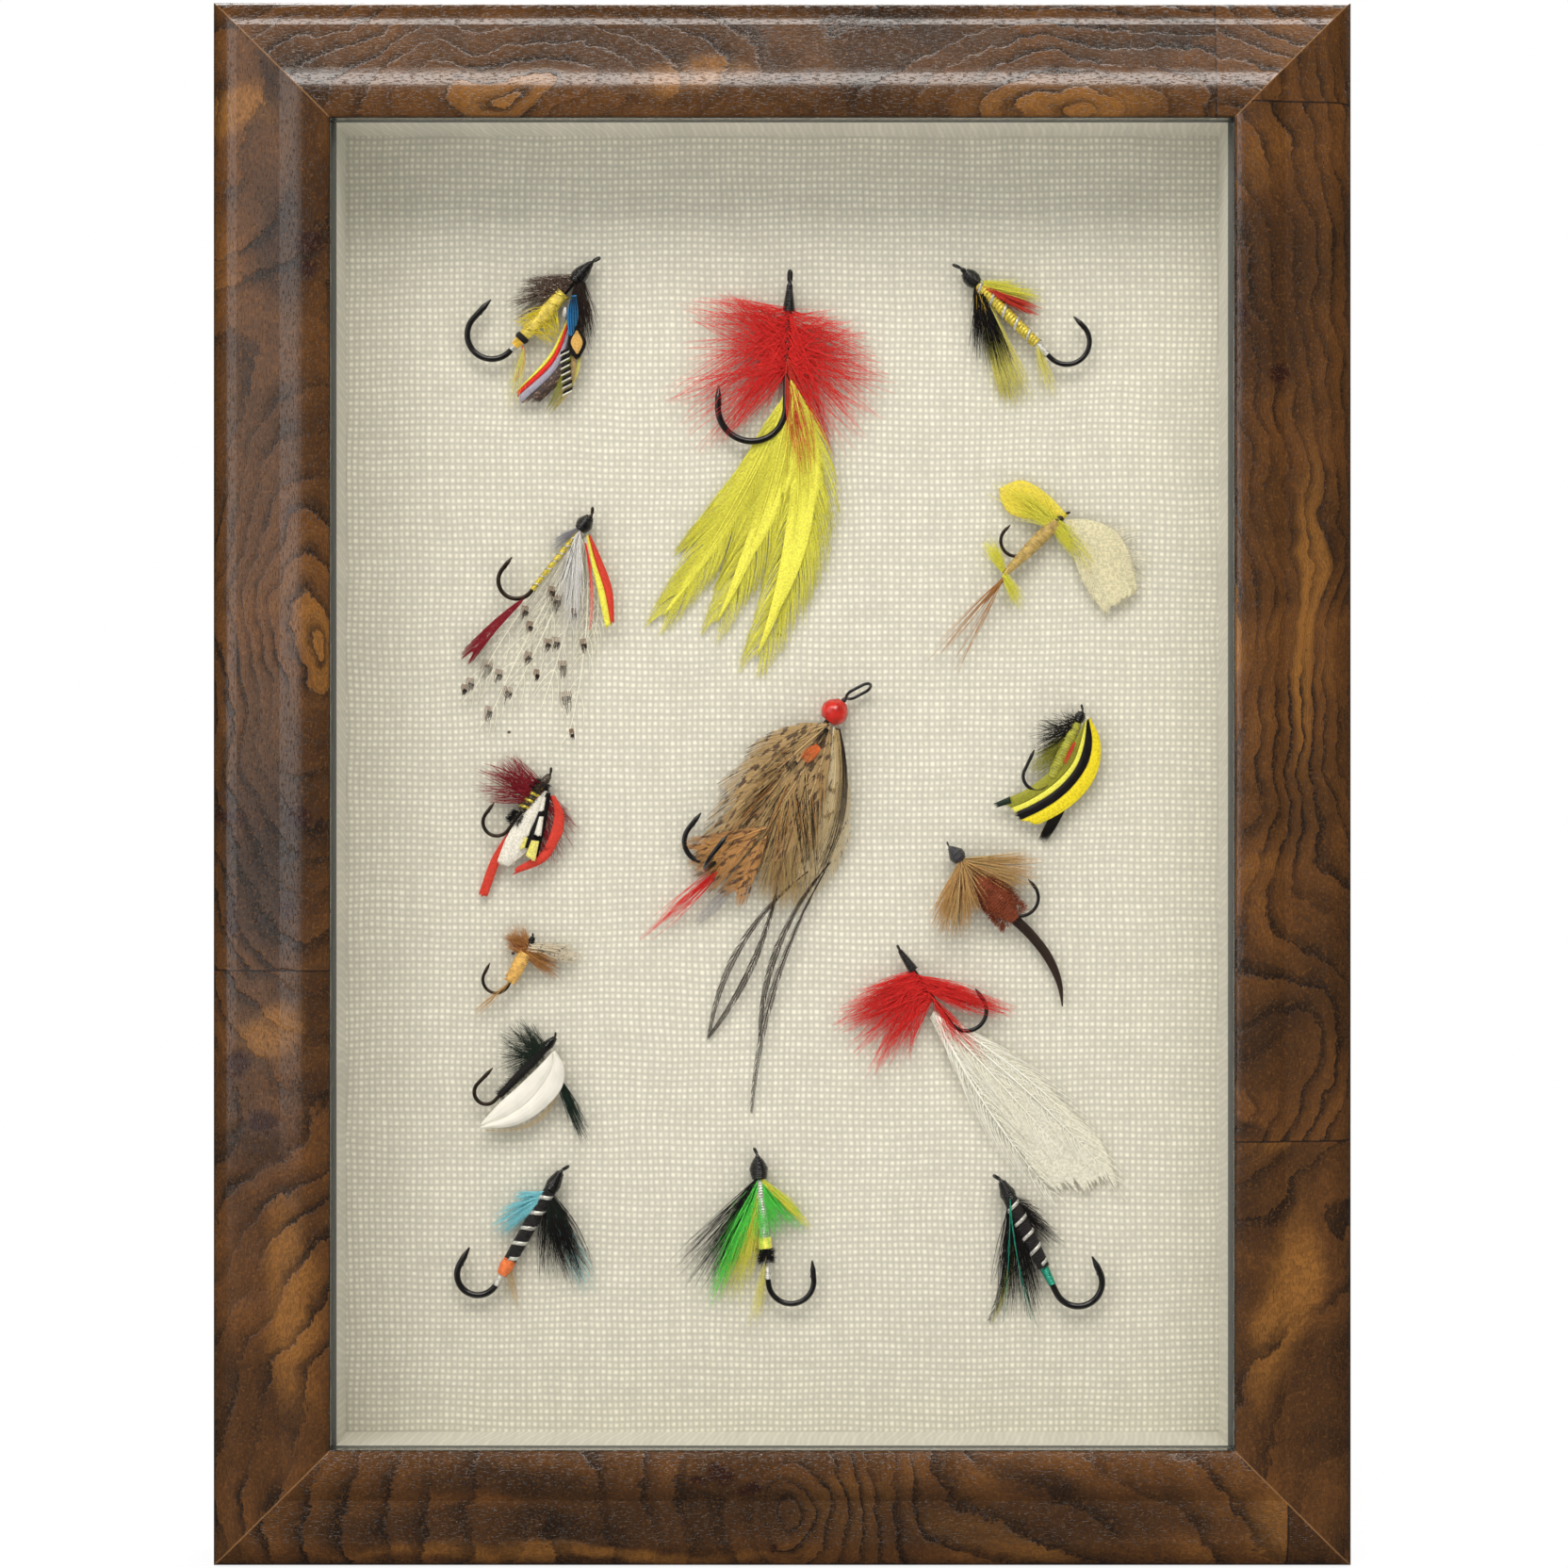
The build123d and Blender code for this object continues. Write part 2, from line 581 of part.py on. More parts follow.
def large_brown_lure():
    end = (-30.18, -38.09)
    head = on_shank(end, 6.6)
    body = [
        head, (-8.0, -7.1), (-18.0, -14.3), (-24.4, -20.8), (-27.7, -27.9), (-29.2, -32.2), (-34.0, -38.2),
        (-31.5, -43.6), (-20.0, -45.0), (-8.0, -48.0), (-5.6, -37.4), (-3.7, -29.4), (-2.8, -19.5),
        (-3.2, -10.4),
    ]
    red_tips = [(-43.0, -51.0), (-48.9, -54.5), (-50.8, -60.8), (-43.9, -58.4), (-38.0, -54.0)]
    fluff_tips = [
        (-34.0, -46.0), (-31.0, -50.5), (-25.0, -52.5),
        (-19.0, -52.5), (-13.2, -51.3), (-8.0, -49.0),
    ]
    dressing = [
        knob(end, 6.6, 2.75),
        winding(end, 7.0, 48.0, 2.6, 2.1),
        plate(body, *under),
        feather((-7.0, -9.0), (-26.0, -38.0), 10.0, *over, bow=2.0),
        hackle((-29.5, -37.5), red_tips, *under, notch=0.75),
        hackle((-18.0, -36.0), fluff_tips, *middle, notch=0.8),
        feather((-16.0, -38.0), (-33.3, -80.0), 4.2, *under, bow=-2.6),
        feather((-11.0, -38.0), (-33.3, -81.5), 4.2, *middle, bow=-5.0),
        feather((-7.0, -38.0), (-23.4, -97.6), 4.4, *over, bow=-5.4),
        feather((-5.8, -40.0), (-21.0, -95.0), 3.4, *middle, bow=-5.0),
    ]
    sizes = dict(shank_end=end, gap=9.6, spear=2.6, side=1, wire=1.2, eye=3.1)
    return fly(dressing, sizes, lean=62, loop=6.9, extra_bends=(second_hook_turn,))


def curved_wing_fly():
    end = (-8.39, -17.71)
    head = on_shank(end, 3.4)
    wing = [
        head, (0.9, -2.8), (3.0, -6.6), (3.9, -12.0), (2.6, -16.6),
        (-0.4, -20.5), (-5.0, -24.2), (-11.0, -27.5),
        (-16.0, -27.6), (-21.0, -23.0), (-16.0, -21.6), (-10.6, -18.6), (-6.0, -13.4), (-3.2, -7.6),
    ]
    throat_tips = [(-5.2, -3.2), (-8.0, -5.0), (-8.8, -7.8), (-9.2, -11.0), (-6.2, -12.4)]
    dressing = [
        winding(end, 2.0, 3.4, 0.8, 1.9),
        winding(end, 3.4, 18.0, 1.7, 1.3),
        plate(wing, *under),
        feather((0.6, -4.6), (-15.8, -25.1), 2.8, *middle, bow=4.8),
        hackle(head, throat_tips, *middle, notch=0.55),
        feather((-5.4, -22.0), (-9.7, -30.9), 2.6, *middle),
    ]
    sizes = dict(shank_end=end, gap=6.2, spear=4.0, side=1, wire=0.8, eye=1.5)
    return fly(dressing, sizes, lean=-14)


def brown_hair_fly():
    end = (13.94, -15.44)
    head = on_shank(end, 3.2)
    fan_tips = [
        (-2.4, -19.9), (0.6, -22.5), (3.0, -22.5), (7.0, -19.5), (11.0, -17.0),
        (15.6, -14.1), (19.7, -10.4), (21.3, -7.4), (21.8, -4.3), (17.0, -2.6),
    ]
    quill = [
        (14.6, -17.4), (15.8, -16.4), (21.9, -22.0), (25.3, -27.2), (27.1, -32.2), (27.0, -37.0),
        (26.3, -36.8), (25.7, -32.0), (23.8, -27.5), (20.6, -22.9),
    ]
    dressing = [
        winding(end, 1.6, 3.6, 0.8, 1.7),
        winding(end, 3.6, 19.4, 1.4),
        winding(end, 19.4, 21.4, 1.5, 2.1),
        winding(end, 21.4, 23.4, 2.1, 1.5),
        hackle(head, fan_tips, *under, notch=0.86),
        plate(quill, *middle),
    ]
    sizes = dict(shank_end=end, gap=8.4, spear=0.6, side=-1, wire=0.8, eye=1.1)
    return fly(dressing, sizes, lean=-22)


def red_and_white_streamer():
    end = (12.29, -17.64)
    left_tips = [(-8.0, -9.0), (-13.4, -15.6), (-11.2, -22.1), (-5.8, -29.2), (-0.2, -29.2), (4.6, -24.0)]
    low_tips = [(14.0, -27.0), (18.0, -28.0), (21.4, -27.0), (20.0, -21.0)]
    wing = [
        (8.0, -14.0), (16.0, -18.0), (22.7, -22.9), (33.3, -30.9), (40.0, -38.9),
        (46.7, -44.1), (51.0, -54.7), (41.0, -50.0), (35.7, -56.9), (31.1, -52.6),
        (26.8, -44.1), (22.3, -37.2), (13.2, -28.3), (8.6, -20.0),
    ]
    dressing = [
        winding(end, 2.2, 6.4, 0.9, 1.9),
        winding(end, 6.4, 21.0, 1.75, 1.5),
        hackle((4.4, -8.0), left_tips, *under, notch=0.6),
        hackle((10.0, -15.0), low_tips, *under, notch=0.7),
        plate(wing, *middle),
        feather((7.0, -10.6), (27.3, -14.7), 5.0, *top, bow=0.8),
        feather((9.0, -15.0), (49.0, -52.5), 6.0, *over, bow=1.4),
    ]
    sizes = dict(shank_end=end, gap=9.2, spear=1.4, side=-1, wire=1.0, eye=1.6)
    return fly(dressing, sizes, lean=-26)


def small_orange_dry_fly():
    end = (-6.24, -11.97)
    collar = on_shank(end, 4.0)
    up_tips = [(-1.8, 1.6), (-5.4, 1.5), (-6.6, -1.4)]
    down_tips = [(5.6, -5.6), (5.2, -10.2), (2.2, -10.6)]
    dressing = [
        winding(end, 1.6, 3.6, 0.8, 1.5),
        winding(end, 3.6, 12.4, 1.7, 1.1),
        *ribs(end, 4.4, 12.0, 1.8, 4, gauge=0.5),
        hackle(on_shank(end, 3.2), up_tips, *under, notch=0.6),
        hackle(collar, down_tips, *under, notch=0.6),
        feather(collar, (11.2, -6.1), 3.6, *middle, bow=-0.6),
        feather((-5.2, -10.8), (-14.1, -18.8), 1.4, *middle),
    ]
    sizes = dict(shank_end=end, gap=6.1, spear=1.6, side=1, wire=0.75, eye=1.1)
    return fly(dressing, sizes, lean=-4)


def white_winged_fly():
    end = (-14.68, -15.29)
    head = on_shank(end, 4.0)
    wing = [
        (-1.8, -2.8), (0.4, -6.0), (1.3, -8.9), (0.8, -11.2), (-0.2, -13.0), (-3.9, -16.7),
        (-10.2, -20.8), (-17.7, -21.6), (-15.0, -16.6), (-8.0, -9.0),
    ]
    up_tips = [(-4.0, -0.4), (-8.0, 2.2), (-12.5, -0.2), (-12.1, -3.0)]
    dressing = [
        winding(end, 1.8, 4.0, 0.8, 1.6),
        winding(end, 4.0, 19.6, 1.75, 1.3),
        plate(wing, *under),
        hackle(head, up_tips, *middle, notch=0.5),
        feather((-2.4, -5.6), (6.3, -24.0), 2.6, *middle, bow=1.6),
    ]
    sizes = dict(shank_end=end, gap=5.5, spear=3.6, side=1, wire=0.9, eye=1.25)
    return fly(dressing, sizes, lean=2)


def black_and_silver_fly():
    end = (-16.07, -28.02)
    head, tail = on_shank(end, 6.4), on_shank(end, 25.4)
    throat_tips = [(-8.0, -5.4), (-11.6, -8.4), (-14.6, -12.0), (-17.1, -16.0), (-13.0, -16.0)]
    wing = [
        (-3.4, -6.4), (-0.6, -11.0), (6.3, -23.8), (5.6, -29.0), (3.0, -27.0), (-3.5, -26.4),
        (-7.1, -26.4), (-7.6, -20.0),
    ]
    dressing = [
        winding(end, 3.0, 6.4, 1.1, 1.9),
        winding(end, 6.4, 25.4, 1.75, 1.5),
        *ribs(end, 6.4, 25.4, 1.95, 5),
        winding(end, 25.4, 29.2, 1.65, 1.45),
        winding(end, 29.2, 31.4, 1.2),
        hackle(head, throat_tips, *middle, notch=0.6),
        plate(wing, *under),
        feather(tail, (-11.0, -34.4), 2.0, *under, bow=0.8),
    ]
    sizes = dict(shank_end=end, gap=9.5, spear=2.0, side=1, wire=1.5, eye=2.1)
    return fly(dressing, sizes, lean=60)


def green_hackle_fly():
    end = (2.69, -31.18)
    head = on_shank(end, 5.9)
    left_tips = [
        (-7.0, -12.0), (-13.0, -22.0), (-17.7, -31.1),
        (-14.6, -34.0), (-11.2, -37.6), (-8.0, -35.9),
    ]
    left_tips += [(-4.0, -31.0)]
    right_tips = [(8.0, -9.0), (12.3, -18.6), (11.7, -21.0), (8.6, -20.0)]
    dressing = [
        winding(end, 2.6, 6.4, 1.0, 2.2),
        winding(end, 6.4, 27.6, 1.7, 1.5),
        *ribs(end, 9.0, 27.6, 1.9, 7),
        hackle(head, left_tips, *under, notch=0.7),
        hackle(on_shank(end, 6.9), right_tips, *under, notch=0.7),
        feather(on_shank(end, 8.0), (-16.9, -30.2), 2.0, *middle, bow=-2.0),
        feather(on_shank(end, 9.0), (11.7, -17.8), 1.8, *middle, bow=1.4),
        feather((2.0, -26.0), (-1.5, -42.2), 2.2, *under, bow=-1.2),
    ]
    sizes = dict(shank_end=end, gap=10.4, spear=2.2, side=-1, wire=1.3, eye=1.8)
    return fly(dressing, sizes, lean=-28)


def black_hackle_fly():
    end = (13.7, -27.81)
    head = on_shank(end, 5.1)
    hackle_tips = [
        (-1.0, -29.0), (1.3, -34.2), (3.6, -32.6), (6.0, -35.0), (8.2, -34.4), (9.7, -35.7), (10.4, -30.0),
    ]
    side_feather = [
        (3.0, -5.0), (0.6, -13.8), (-1.8, -20.5), (-3.2, -25.5), (-2.4, -30.9), (-0.6, -34.4),
        (-2.0, -34.6), (-4.2, -31.0), (-5.0, -25.5), (-3.2, -20.0), (-0.8, -13.4), (1.4, -6.4),
    ]
    wing = [(3.6, -4.0), (7.4, -4.4), (11.2, -10.4), (15.1, -15.1), (12.0, -18.0), (9.0, -18.0)]
    dressing = [
        winding(end, 3.0, 5.6, 1.0, 2.1),
        winding(end, 5.6, 24.0, 1.9, 1.6),
        *ribs(end, 5.6, 24.0, 2.05, 5),
        winding(end, 24.0, 28.4, 1.3),
        hackle(head, hackle_tips, *under, notch=0.85),
        plate(side_feather, *middle),
        plate(wing, *under),
    ]
    sizes = dict(shank_end=end, gap=11.0, spear=1.5, side=-1, wire=1.5, eye=2.1)
    return fly(dressing, sizes, lean=-60)


# Where each fly's eye lies, as a share of the glazed opening from its lower left corner
fly_places = {
    "barred_salmon_fly": (barred_salmon_fly, 0.292, 0.907),
    "red_and_yellow_streamer": (red_and_yellow_streamer, 0.509, 0.896),
    "gilt_hair_fly": (gilt_hair_fly, 0.695, 0.902),
    "fan_wing_fly": (fan_wing_fly, 0.290, 0.712),
    "yellow_mayfly": (yellow_mayfly, 0.825, 0.711),
    "crimson_hackle_fly": (crimson_hackle_fly, 0.242, 0.512),
    "large_brown_lure": (large_brown_lure, 0.581, 0.574),
    "curved_wing_fly": (curved_wing_fly, 0.844, 0.561),
    "brown_hair_fly": (brown_hair_fly, 0.685, 0.455),
    "red_and_white_streamer": (red_and_white_streamer, 0.629, 0.376),
    "small_orange_dry_fly": (small_orange_dry_fly, 0.220, 0.385),
    "white_winged_fly": (white_winged_fly, 0.247, 0.308),
    "black_and_silver_fly": (black_and_silver_fly, 0.255, 0.209),
    "green_hackle_fly": (green_hackle_fly, 0.471, 0.221),
    "black_hackle_fly": (black_hackle_fly, 0.743, 0.202),
}


def build():
    """Every node's name and shape."""
    nodes = {}

    wedge_slots = all_nails(-1, nail_recess + nail_length)
    pilots = [pilot_hole(x, z) for x, z in button_screw_spots + hanger_screw_spots]
    for name, (length, place) in rail_places.items():
        rail = place * mitred_rail(length)
        for cut in wedge_slots + pilots:
            rail = rail - cut
        nodes[name] = rail
    nodes["corner_v_nails"] = all_nails(nail_recess, nail_recess + nail_length)

    sheet_width = pocket_width - 2 * fit_clearance
    sheet_height = pocket_height - 2 * fit_clearance
    mount_face = backing_thickness + mount_thickness
    nodes["glazing"] = board(sheet_width, sheet_height, glass_back, ledge_height)
    nodes["linen_panel"] = board(sheet_width, sheet_height, mount_face, linen_face)
    nodes["mount_board"] = board(sheet_width, sheet_height, backing_thickness, mount_face)
    nodes["backing_board"] = board(sheet_width, sheet_height, 0, backing_thickness)

    end_liner_width = rabbet_width - fit_clearance + end_liner_proud
    side_liner_width = rabbet_width - fit_clearance + side_liner_proud
    side_length = sheet_height - 2 * end_liner_width
    liner_sizes = {
        "top_liner": (sheet_width, end_liner_width, 0, 1),
        "bottom_liner": (sheet_width, end_liner_width, 0, -1),
        "left_liner": (side_liner_width, side_length, -1, 0),
        "right_liner": (side_liner_width, side_length, 1, 0),
    }
    for name, (width, height, across, up) in liner_sizes.items():
        x = across * (sheet_width - width) / 2
        z = middle_z + up * (sheet_height - height) / 2
        outline = at_height(linen_face) * Location((x, z)) * Rectangle(width, height)
        blank = extrude(outline, glass_back - linen_face)
        way, length_way = (Axis.Z, Axis.X) if up else (Axis.X, Axis.Z)
        front = blank.faces().sort_by(Axis.Y)[0].edges().filter_by(length_way).sort_by(way)
        inner = front[0] if (across + up) > 0 else front[-1]
        nodes[name] = fillet(inner, liner_edge_round)

    for name, (x, z, angle) in button_places.items():
        nodes[name] = turn_button(x, z, angle)
    nodes["turn_button_screws"] = [screw(x, z, button_screw_seat) for x, z in button_screw_spots]
    nodes["hanger_screws"] = [screw(x, z, hanger_screw_seat) for x, z in hanger_screw_spots]
    for side, word in ((-1, "left"), (1, "right")):
        nodes[f"{word}_hanger_plate"] = hanger_plate(side)
        nodes[f"{word}_hanger_ring"] = hanger_ring(side)

    pads = []
    for across in (-1, 1):
        for up in (-1, 1):
            x = across * (frame_width / 2 - pad_offset)
            z = middle_z + up * (middle_z - inner_offset / 2)
            pads.append(extrude(at_height(0) * Location((x, z)) * Circle(pad_radius), -pad_thickness))
    nodes["bumper_pads"] = pads

    for name, (maker, across, up) in fly_places.items():
        hook, dressing = maker()
        x = (across - 0.5) * sight_width
        z = rail_width + up * sight_height
        place = Location((x, back_y - linen_face, z))
        nodes[f"{name}_hook"] = place * hook
        nodes[f"{name}_dressing"] = place * dressing
    return nodes


os.makedirs("parts", exist_ok=True)
for name, shape in build().items():
    solids = shape if isinstance(shape, list) else shape.solids()
    result = solids[0] if len(solids) == 1 else Compound(solids)
    export_step(result, os.path.join("parts", f"{name}.step"))
    print(f"{name}: {len(solids)} solid(s), {sum(s.volume for s in solids):.1f} mm3")
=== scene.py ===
import math

import bpy
import numpy as np
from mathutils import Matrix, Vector


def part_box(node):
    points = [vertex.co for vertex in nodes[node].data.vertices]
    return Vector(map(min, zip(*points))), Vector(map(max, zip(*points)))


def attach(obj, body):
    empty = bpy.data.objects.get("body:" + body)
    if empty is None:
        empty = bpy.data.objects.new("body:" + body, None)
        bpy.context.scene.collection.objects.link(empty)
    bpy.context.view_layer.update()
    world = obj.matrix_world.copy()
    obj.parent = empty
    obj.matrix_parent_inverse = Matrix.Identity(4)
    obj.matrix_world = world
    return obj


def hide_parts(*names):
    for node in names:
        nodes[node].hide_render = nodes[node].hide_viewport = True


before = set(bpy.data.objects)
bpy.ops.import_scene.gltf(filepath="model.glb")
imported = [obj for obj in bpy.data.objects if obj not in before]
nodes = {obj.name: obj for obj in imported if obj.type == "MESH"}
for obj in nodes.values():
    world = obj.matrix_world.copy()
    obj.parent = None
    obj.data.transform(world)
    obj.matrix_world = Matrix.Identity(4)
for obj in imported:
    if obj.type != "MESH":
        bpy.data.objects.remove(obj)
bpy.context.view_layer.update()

mm = 0.001
rng = np.random.default_rng(15)

# The opening seen from the front, and the planes the display is stacked on
sight_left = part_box("left_rail")[1].x
sight_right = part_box("right_rail")[0].x
sight_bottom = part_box("bottom_rail")[1].z
sight_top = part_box("top_rail")[0].z
frame_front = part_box("top_rail")[0].y
outer_half_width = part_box("top_rail")[1].x
outer_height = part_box("top_rail")[1].z
frame_middle = (sight_bottom + sight_top) / 2
linen_low, linen_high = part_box("linen_panel")
linen_face = linen_low.y
shank_height = 3.0  # mm, middle of the hook wire above the linen


# Stage


def linear(*rgb):
    """A colour of 0 to 255, as the shader takes it."""
    shares = [c / 255 for c in rgb]
    return tuple(s / 12.92 if s <= 0.04045 else ((s + 0.055) / 1.055) ** 2.4 for s in shares) + (1.0,)


def shade(rgb, share):
    """A colour of 0 to 255 made darker or lighter."""
    return linear(*[min(255.0, c * share) for c in rgb])


class Graph:
    """Short names for the nodes of one material."""

    def __init__(self, name):
        self.material = bpy.data.materials.new(name)
        self.material.use_nodes = True
        self.tree = self.material.node_tree
        self.tree.nodes.clear()
        self.out = self.tree.nodes.new("ShaderNodeOutputMaterial")
        self.place = self.node("ShaderNodeTexCoord").outputs["Object"]

    def node(self, kind, values=(), **settings):
        made = self.tree.nodes.new(kind)
        for key, value in settings.items():
            setattr(made, key, value)
        for key, value in dict(values).items():
            self.feed(made.inputs[key], value)
        return made

    def feed(self, socket, value):
        if isinstance(value, bpy.types.NodeSocket):
            self.tree.links.new(value, socket)
        else:
            socket.default_value = value

    def maths(self, operation, a, b=0.0):
        return self.node("ShaderNodeMath", {0: a, 1: b}, operation=operation).outputs[0]

    def plus(self, a, b):
        return self.maths("ADD", a, b)

    def minus(self, a, b):
        return self.maths("SUBTRACT", a, b)

    def times(self, a, b):
        return self.maths("MULTIPLY", a, b)

    def size(self, a):
        """A value without its sign."""
        return self.maths("ABSOLUTE", a)

    def vector(self, operation, a, b):
        return self.node("ShaderNodeVectorMath", {0: a, 1: b}, operation=operation).outputs[0]

    def smooth_min(self, a, b, reach):
        made = self.node("ShaderNodeMath", {0: a, 1: b, 2: reach}, operation="SMOOTH_MIN")
        return made.outputs[0]

    def span(self, value, low, high, to_low=0.0, to_high=1.0):
        """A value carried from one range to another, with a soft start and stop."""
        values = {"Value": value, "From Min": low, "From Max": high}
        values.update({"To Min": to_low, "To Max": to_high})
        return self.node("ShaderNodeMapRange", values, interpolation_type="SMOOTHSTEP").outputs[0]

    def mapped(self, location=(0, 0, 0), turn=(0, 0, 0), scale=(1, 1, 1), source=None):
        """Coordinates in millimetres from a point, turned and scaled."""
        values = {
            "Vector": source or self.place,
            "Location": tuple(c * mm for c in location),
            "Rotation": turn,
            "Scale": tuple(s * mm for s in scale),
        }
        return self.node("ShaderNodeMapping", values, vector_type="TEXTURE").outputs[0]

    def length(self, vector):
        return self.node("ShaderNodeVectorMath", {0: vector}, operation="LENGTH").outputs["Value"]

    def noise(self, vector, scale, detail=2.0, rough=0.5):
        values = {"Vector": vector, "Scale": scale, "Detail": detail, "Roughness": rough}
        return self.node("ShaderNodeTexNoise", values).outputs["Fac"]

    def ramp(self, value, *stops):
        made = self.node("ShaderNodeValToRGB", {"Fac": value})
        elements = made.color_ramp.elements
        elements[0].position, elements[0].color = stops[0]
        elements[1].position, elements[1].color = stops[-1]
        for position, colour in stops[1:-1]:
            elements.new(position).color = colour
        return made.outputs["Color"]

    def mix(self, share, a, b):
        made = self.node("ShaderNodeMix", data_type="RGBA")
        self.feed(made.inputs[0], share)
        self.feed(made.inputs[6], a)
        self.feed(made.inputs[7], b)
        return made.outputs[2]

    def bump(self, height, depth, normal=None):
        """A bump whose full height is depth, in millimetres."""
        values = {"Height": height, "Distance": depth * mm}
        if normal is not None:
            values["Normal"] = normal
        return self.node("ShaderNodeBump", values).outputs[0]

    def principled(self, **values):
        names = {key.replace("_", " "): value for key, value in values.items()}
        shader = self.node("ShaderNodeBsdfPrincipled", names)
        self.tree.links.new(shader.outputs[0], self.out.inputs["Surface"])
        return self.material

    def sheer(self, colour, share, **values):
        """A surface that passes a share of the light on to its other side."""
        material = self.principled(**values)
        opaque = self.out.inputs["Surface"].links[0].from_socket
        through = self.node("ShaderNodeBsdfTranslucent", {"Color": colour})
        mixed = self.node("ShaderNodeMixShader", {0: share, 1: opaque, 2: through.outputs[0]})
        self.tree.links.new(mixed.outputs[0], self.out.inputs["Surface"])
        return material


def white_to_the_eye(name, colour, shadow_share, mirrored):
    """A pale surface that shows as white, keeps a share of its shadows and is dim in reflections."""
    g = Graph(name)
    rays = g.node("ShaderNodeLightPath")
    seen = g.maths("MAXIMUM", rays.outputs["Is Camera Ray"], rays.outputs["Is Transmission Ray"])
    diffuse = g.node("ShaderNodeBsdfDiffuse", {"Color": colour})
    glow = g.node("ShaderNodeEmission", {"Color": (1, 1, 1, 1), "Strength": 1.0})
    dim = g.node("ShaderNodeEmission", {"Color": (1, 1, 1, 1), "Strength": mirrored})
    share = g.times(seen, 1.0 - shadow_share)
    white = g.node("ShaderNodeMixShader", {0: share, 1: diffuse.outputs[0], 2: glow.outputs[0]})
    glossy = rays.outputs["Is Glossy Ray"]
    mixed = g.node("ShaderNodeMixShader", {0: glossy, 1: white.outputs[0], 2: dim.outputs[0]})
    g.tree.links.new(mixed.outputs[0], g.out.inputs["Surface"])
    return g.material


def make_mesh(name, vertices, faces, material):
    mesh = bpy.data.meshes.new(name)
    mesh.from_pydata([tuple(v) for v in vertices], [], [tuple(f) for f in faces])
    mesh.polygons.foreach_set("use_smooth", [True] * len(mesh.polygons))
    mesh.materials.append(material)
    made = bpy.data.objects.new(name, mesh)
    bpy.context.scene.collection.objects.link(made)
    return made


def stage_floor():
    """A wide flat floor that the frame stands on."""
    reach = 1.3
    pale = (0.9, 0.9, 0.9, 1)
    vertices = [(x, y, 0.0) for y in (-reach, reach) for x in (-reach, reach)]
    material = white_to_the_eye("stage", pale, shadow_share=0.08, mirrored=0.03)
    make_mesh("floor", vertices, [(0, 1, 3, 2)], material)


def lamp(name, centre, size, power, colour):
    """A rectangular soft light, placed from the middle of the frame and turned to it."""
    data = bpy.data.lights.new(name, "AREA")
    data.shape = "RECTANGLE"
    data.size, data.size_y = size
    data.energy = power
    data.color = colour
    made = bpy.data.objects.new(name, data)
    bpy.context.scene.collection.objects.link(made)
    x, y, above = centre
    place = Vector((x, y, frame_middle + above))
    made.location = place
    way = Vector((0, 0, frame_middle)) - place
    made.rotation_euler = way.to_track_quat("-Z", "Y").to_euler()


def room_light(strength, mirrored):
    """A dim even room that shows as white, so that the picture's ground is white all over."""
    world = bpy.data.worlds.new("room")
    world.use_nodes = True
    tree = world.node_tree
    rays = tree.nodes.new("ShaderNodeLightPath")
    levels = tree.nodes.new("ShaderNodeMix")
    levels.inputs[2].default_value = strength
    levels.inputs[3].default_value = mirrored
    tree.links.new(rays.outputs["Is Glossy Ray"], levels.inputs[0])
    shown = tree.nodes.new("ShaderNodeMath")
    shown.operation = "MAXIMUM"
    tree.links.new(levels.outputs[0], shown.inputs[0])
    tree.links.new(rays.outputs["Is Camera Ray"], shown.inputs[1])
    tree.links.new(shown.outputs[0], tree.nodes["Background"].inputs["Strength"])
    tree.nodes["Background"].inputs["Color"].default_value = (1, 1, 1, 1)
    bpy.context.scene.world = world


def studio():
    for name, centre, size, power, colour in (
        ("overhead_soft_box", (-0.16, -1.75, 1.85), (2.6, 1.2), 64.0, (1.0, 0.965, 0.92)),
        ("left_soft_box", (-2.0, -1.65, 0.1), (2.0, 3.2), 27.0, (0.985, 0.99, 1.0)),
        ("rear_soft_box", (0.7, 1.6, 1.3), (2.4, 1.4), 34.0, (1.0, 0.985, 0.96)),
        ("left_strip", (-0.535, -1.05, 0.02), (0.12, 0.9), 0.3, (0.97, 0.98, 1.0)),
    ):
        lamp(name, centre, size, power, colour)
    room_light(strength=0.5, mirrored=0.02)
    bpy.context.scene.view_settings.view_transform = "Standard"


def camera():
    photo_width = 0.3494  # metres of the frame's front plane across the photo
    distance = 1.0
    right_of_middle = 0.0004
    data = bpy.data.cameras.new("camera")
    data.sensor_width = 36.0
    data.lens = data.sensor_width * distance / photo_width
    data.clip_start = 0.05
    made = bpy.data.objects.new("camera", data)
    bpy.context.scene.collection.objects.link(made)
    made.location = (right_of_middle, frame_front - distance, frame_middle)
    made.rotation_euler = (math.radians(90), 0, 0)
    bpy.context.scene.camera = made


# Wood


def eye_rings(g, warp, eyes):
    """Growth rings as a field in millimetres: distances from drawn-out eyes, merged smoothly."""
    reach = 14.0
    field = None
    for x, z, turn, long_share, short_share, offset in eyes:
        scale = (long_share, 1000.0, short_share)
        where = g.mapped((x, 0, z), (0, math.radians(-turn), 0), scale, warp)
        distance = g.plus(g.length(where), offset)
        field = distance if field is None else g.smooth_min(field, distance, reach)
    return field


def patches(g, warp, spots):
    """A mask of soft round patches: x, z, long radius, short radius, turn."""
    mask = None
    for x, z, long_radius, short_radius, turn in spots:
        scale = (long_radius, 1000.0, short_radius)
        where = g.mapped((x, 0, z), (0, math.radians(-turn), 0), scale, warp)
        here = g.span(g.length(where), 1.0, 0.35)
        mask = here if mask is None else g.maths("MAXIMUM", mask, here)
    return mask


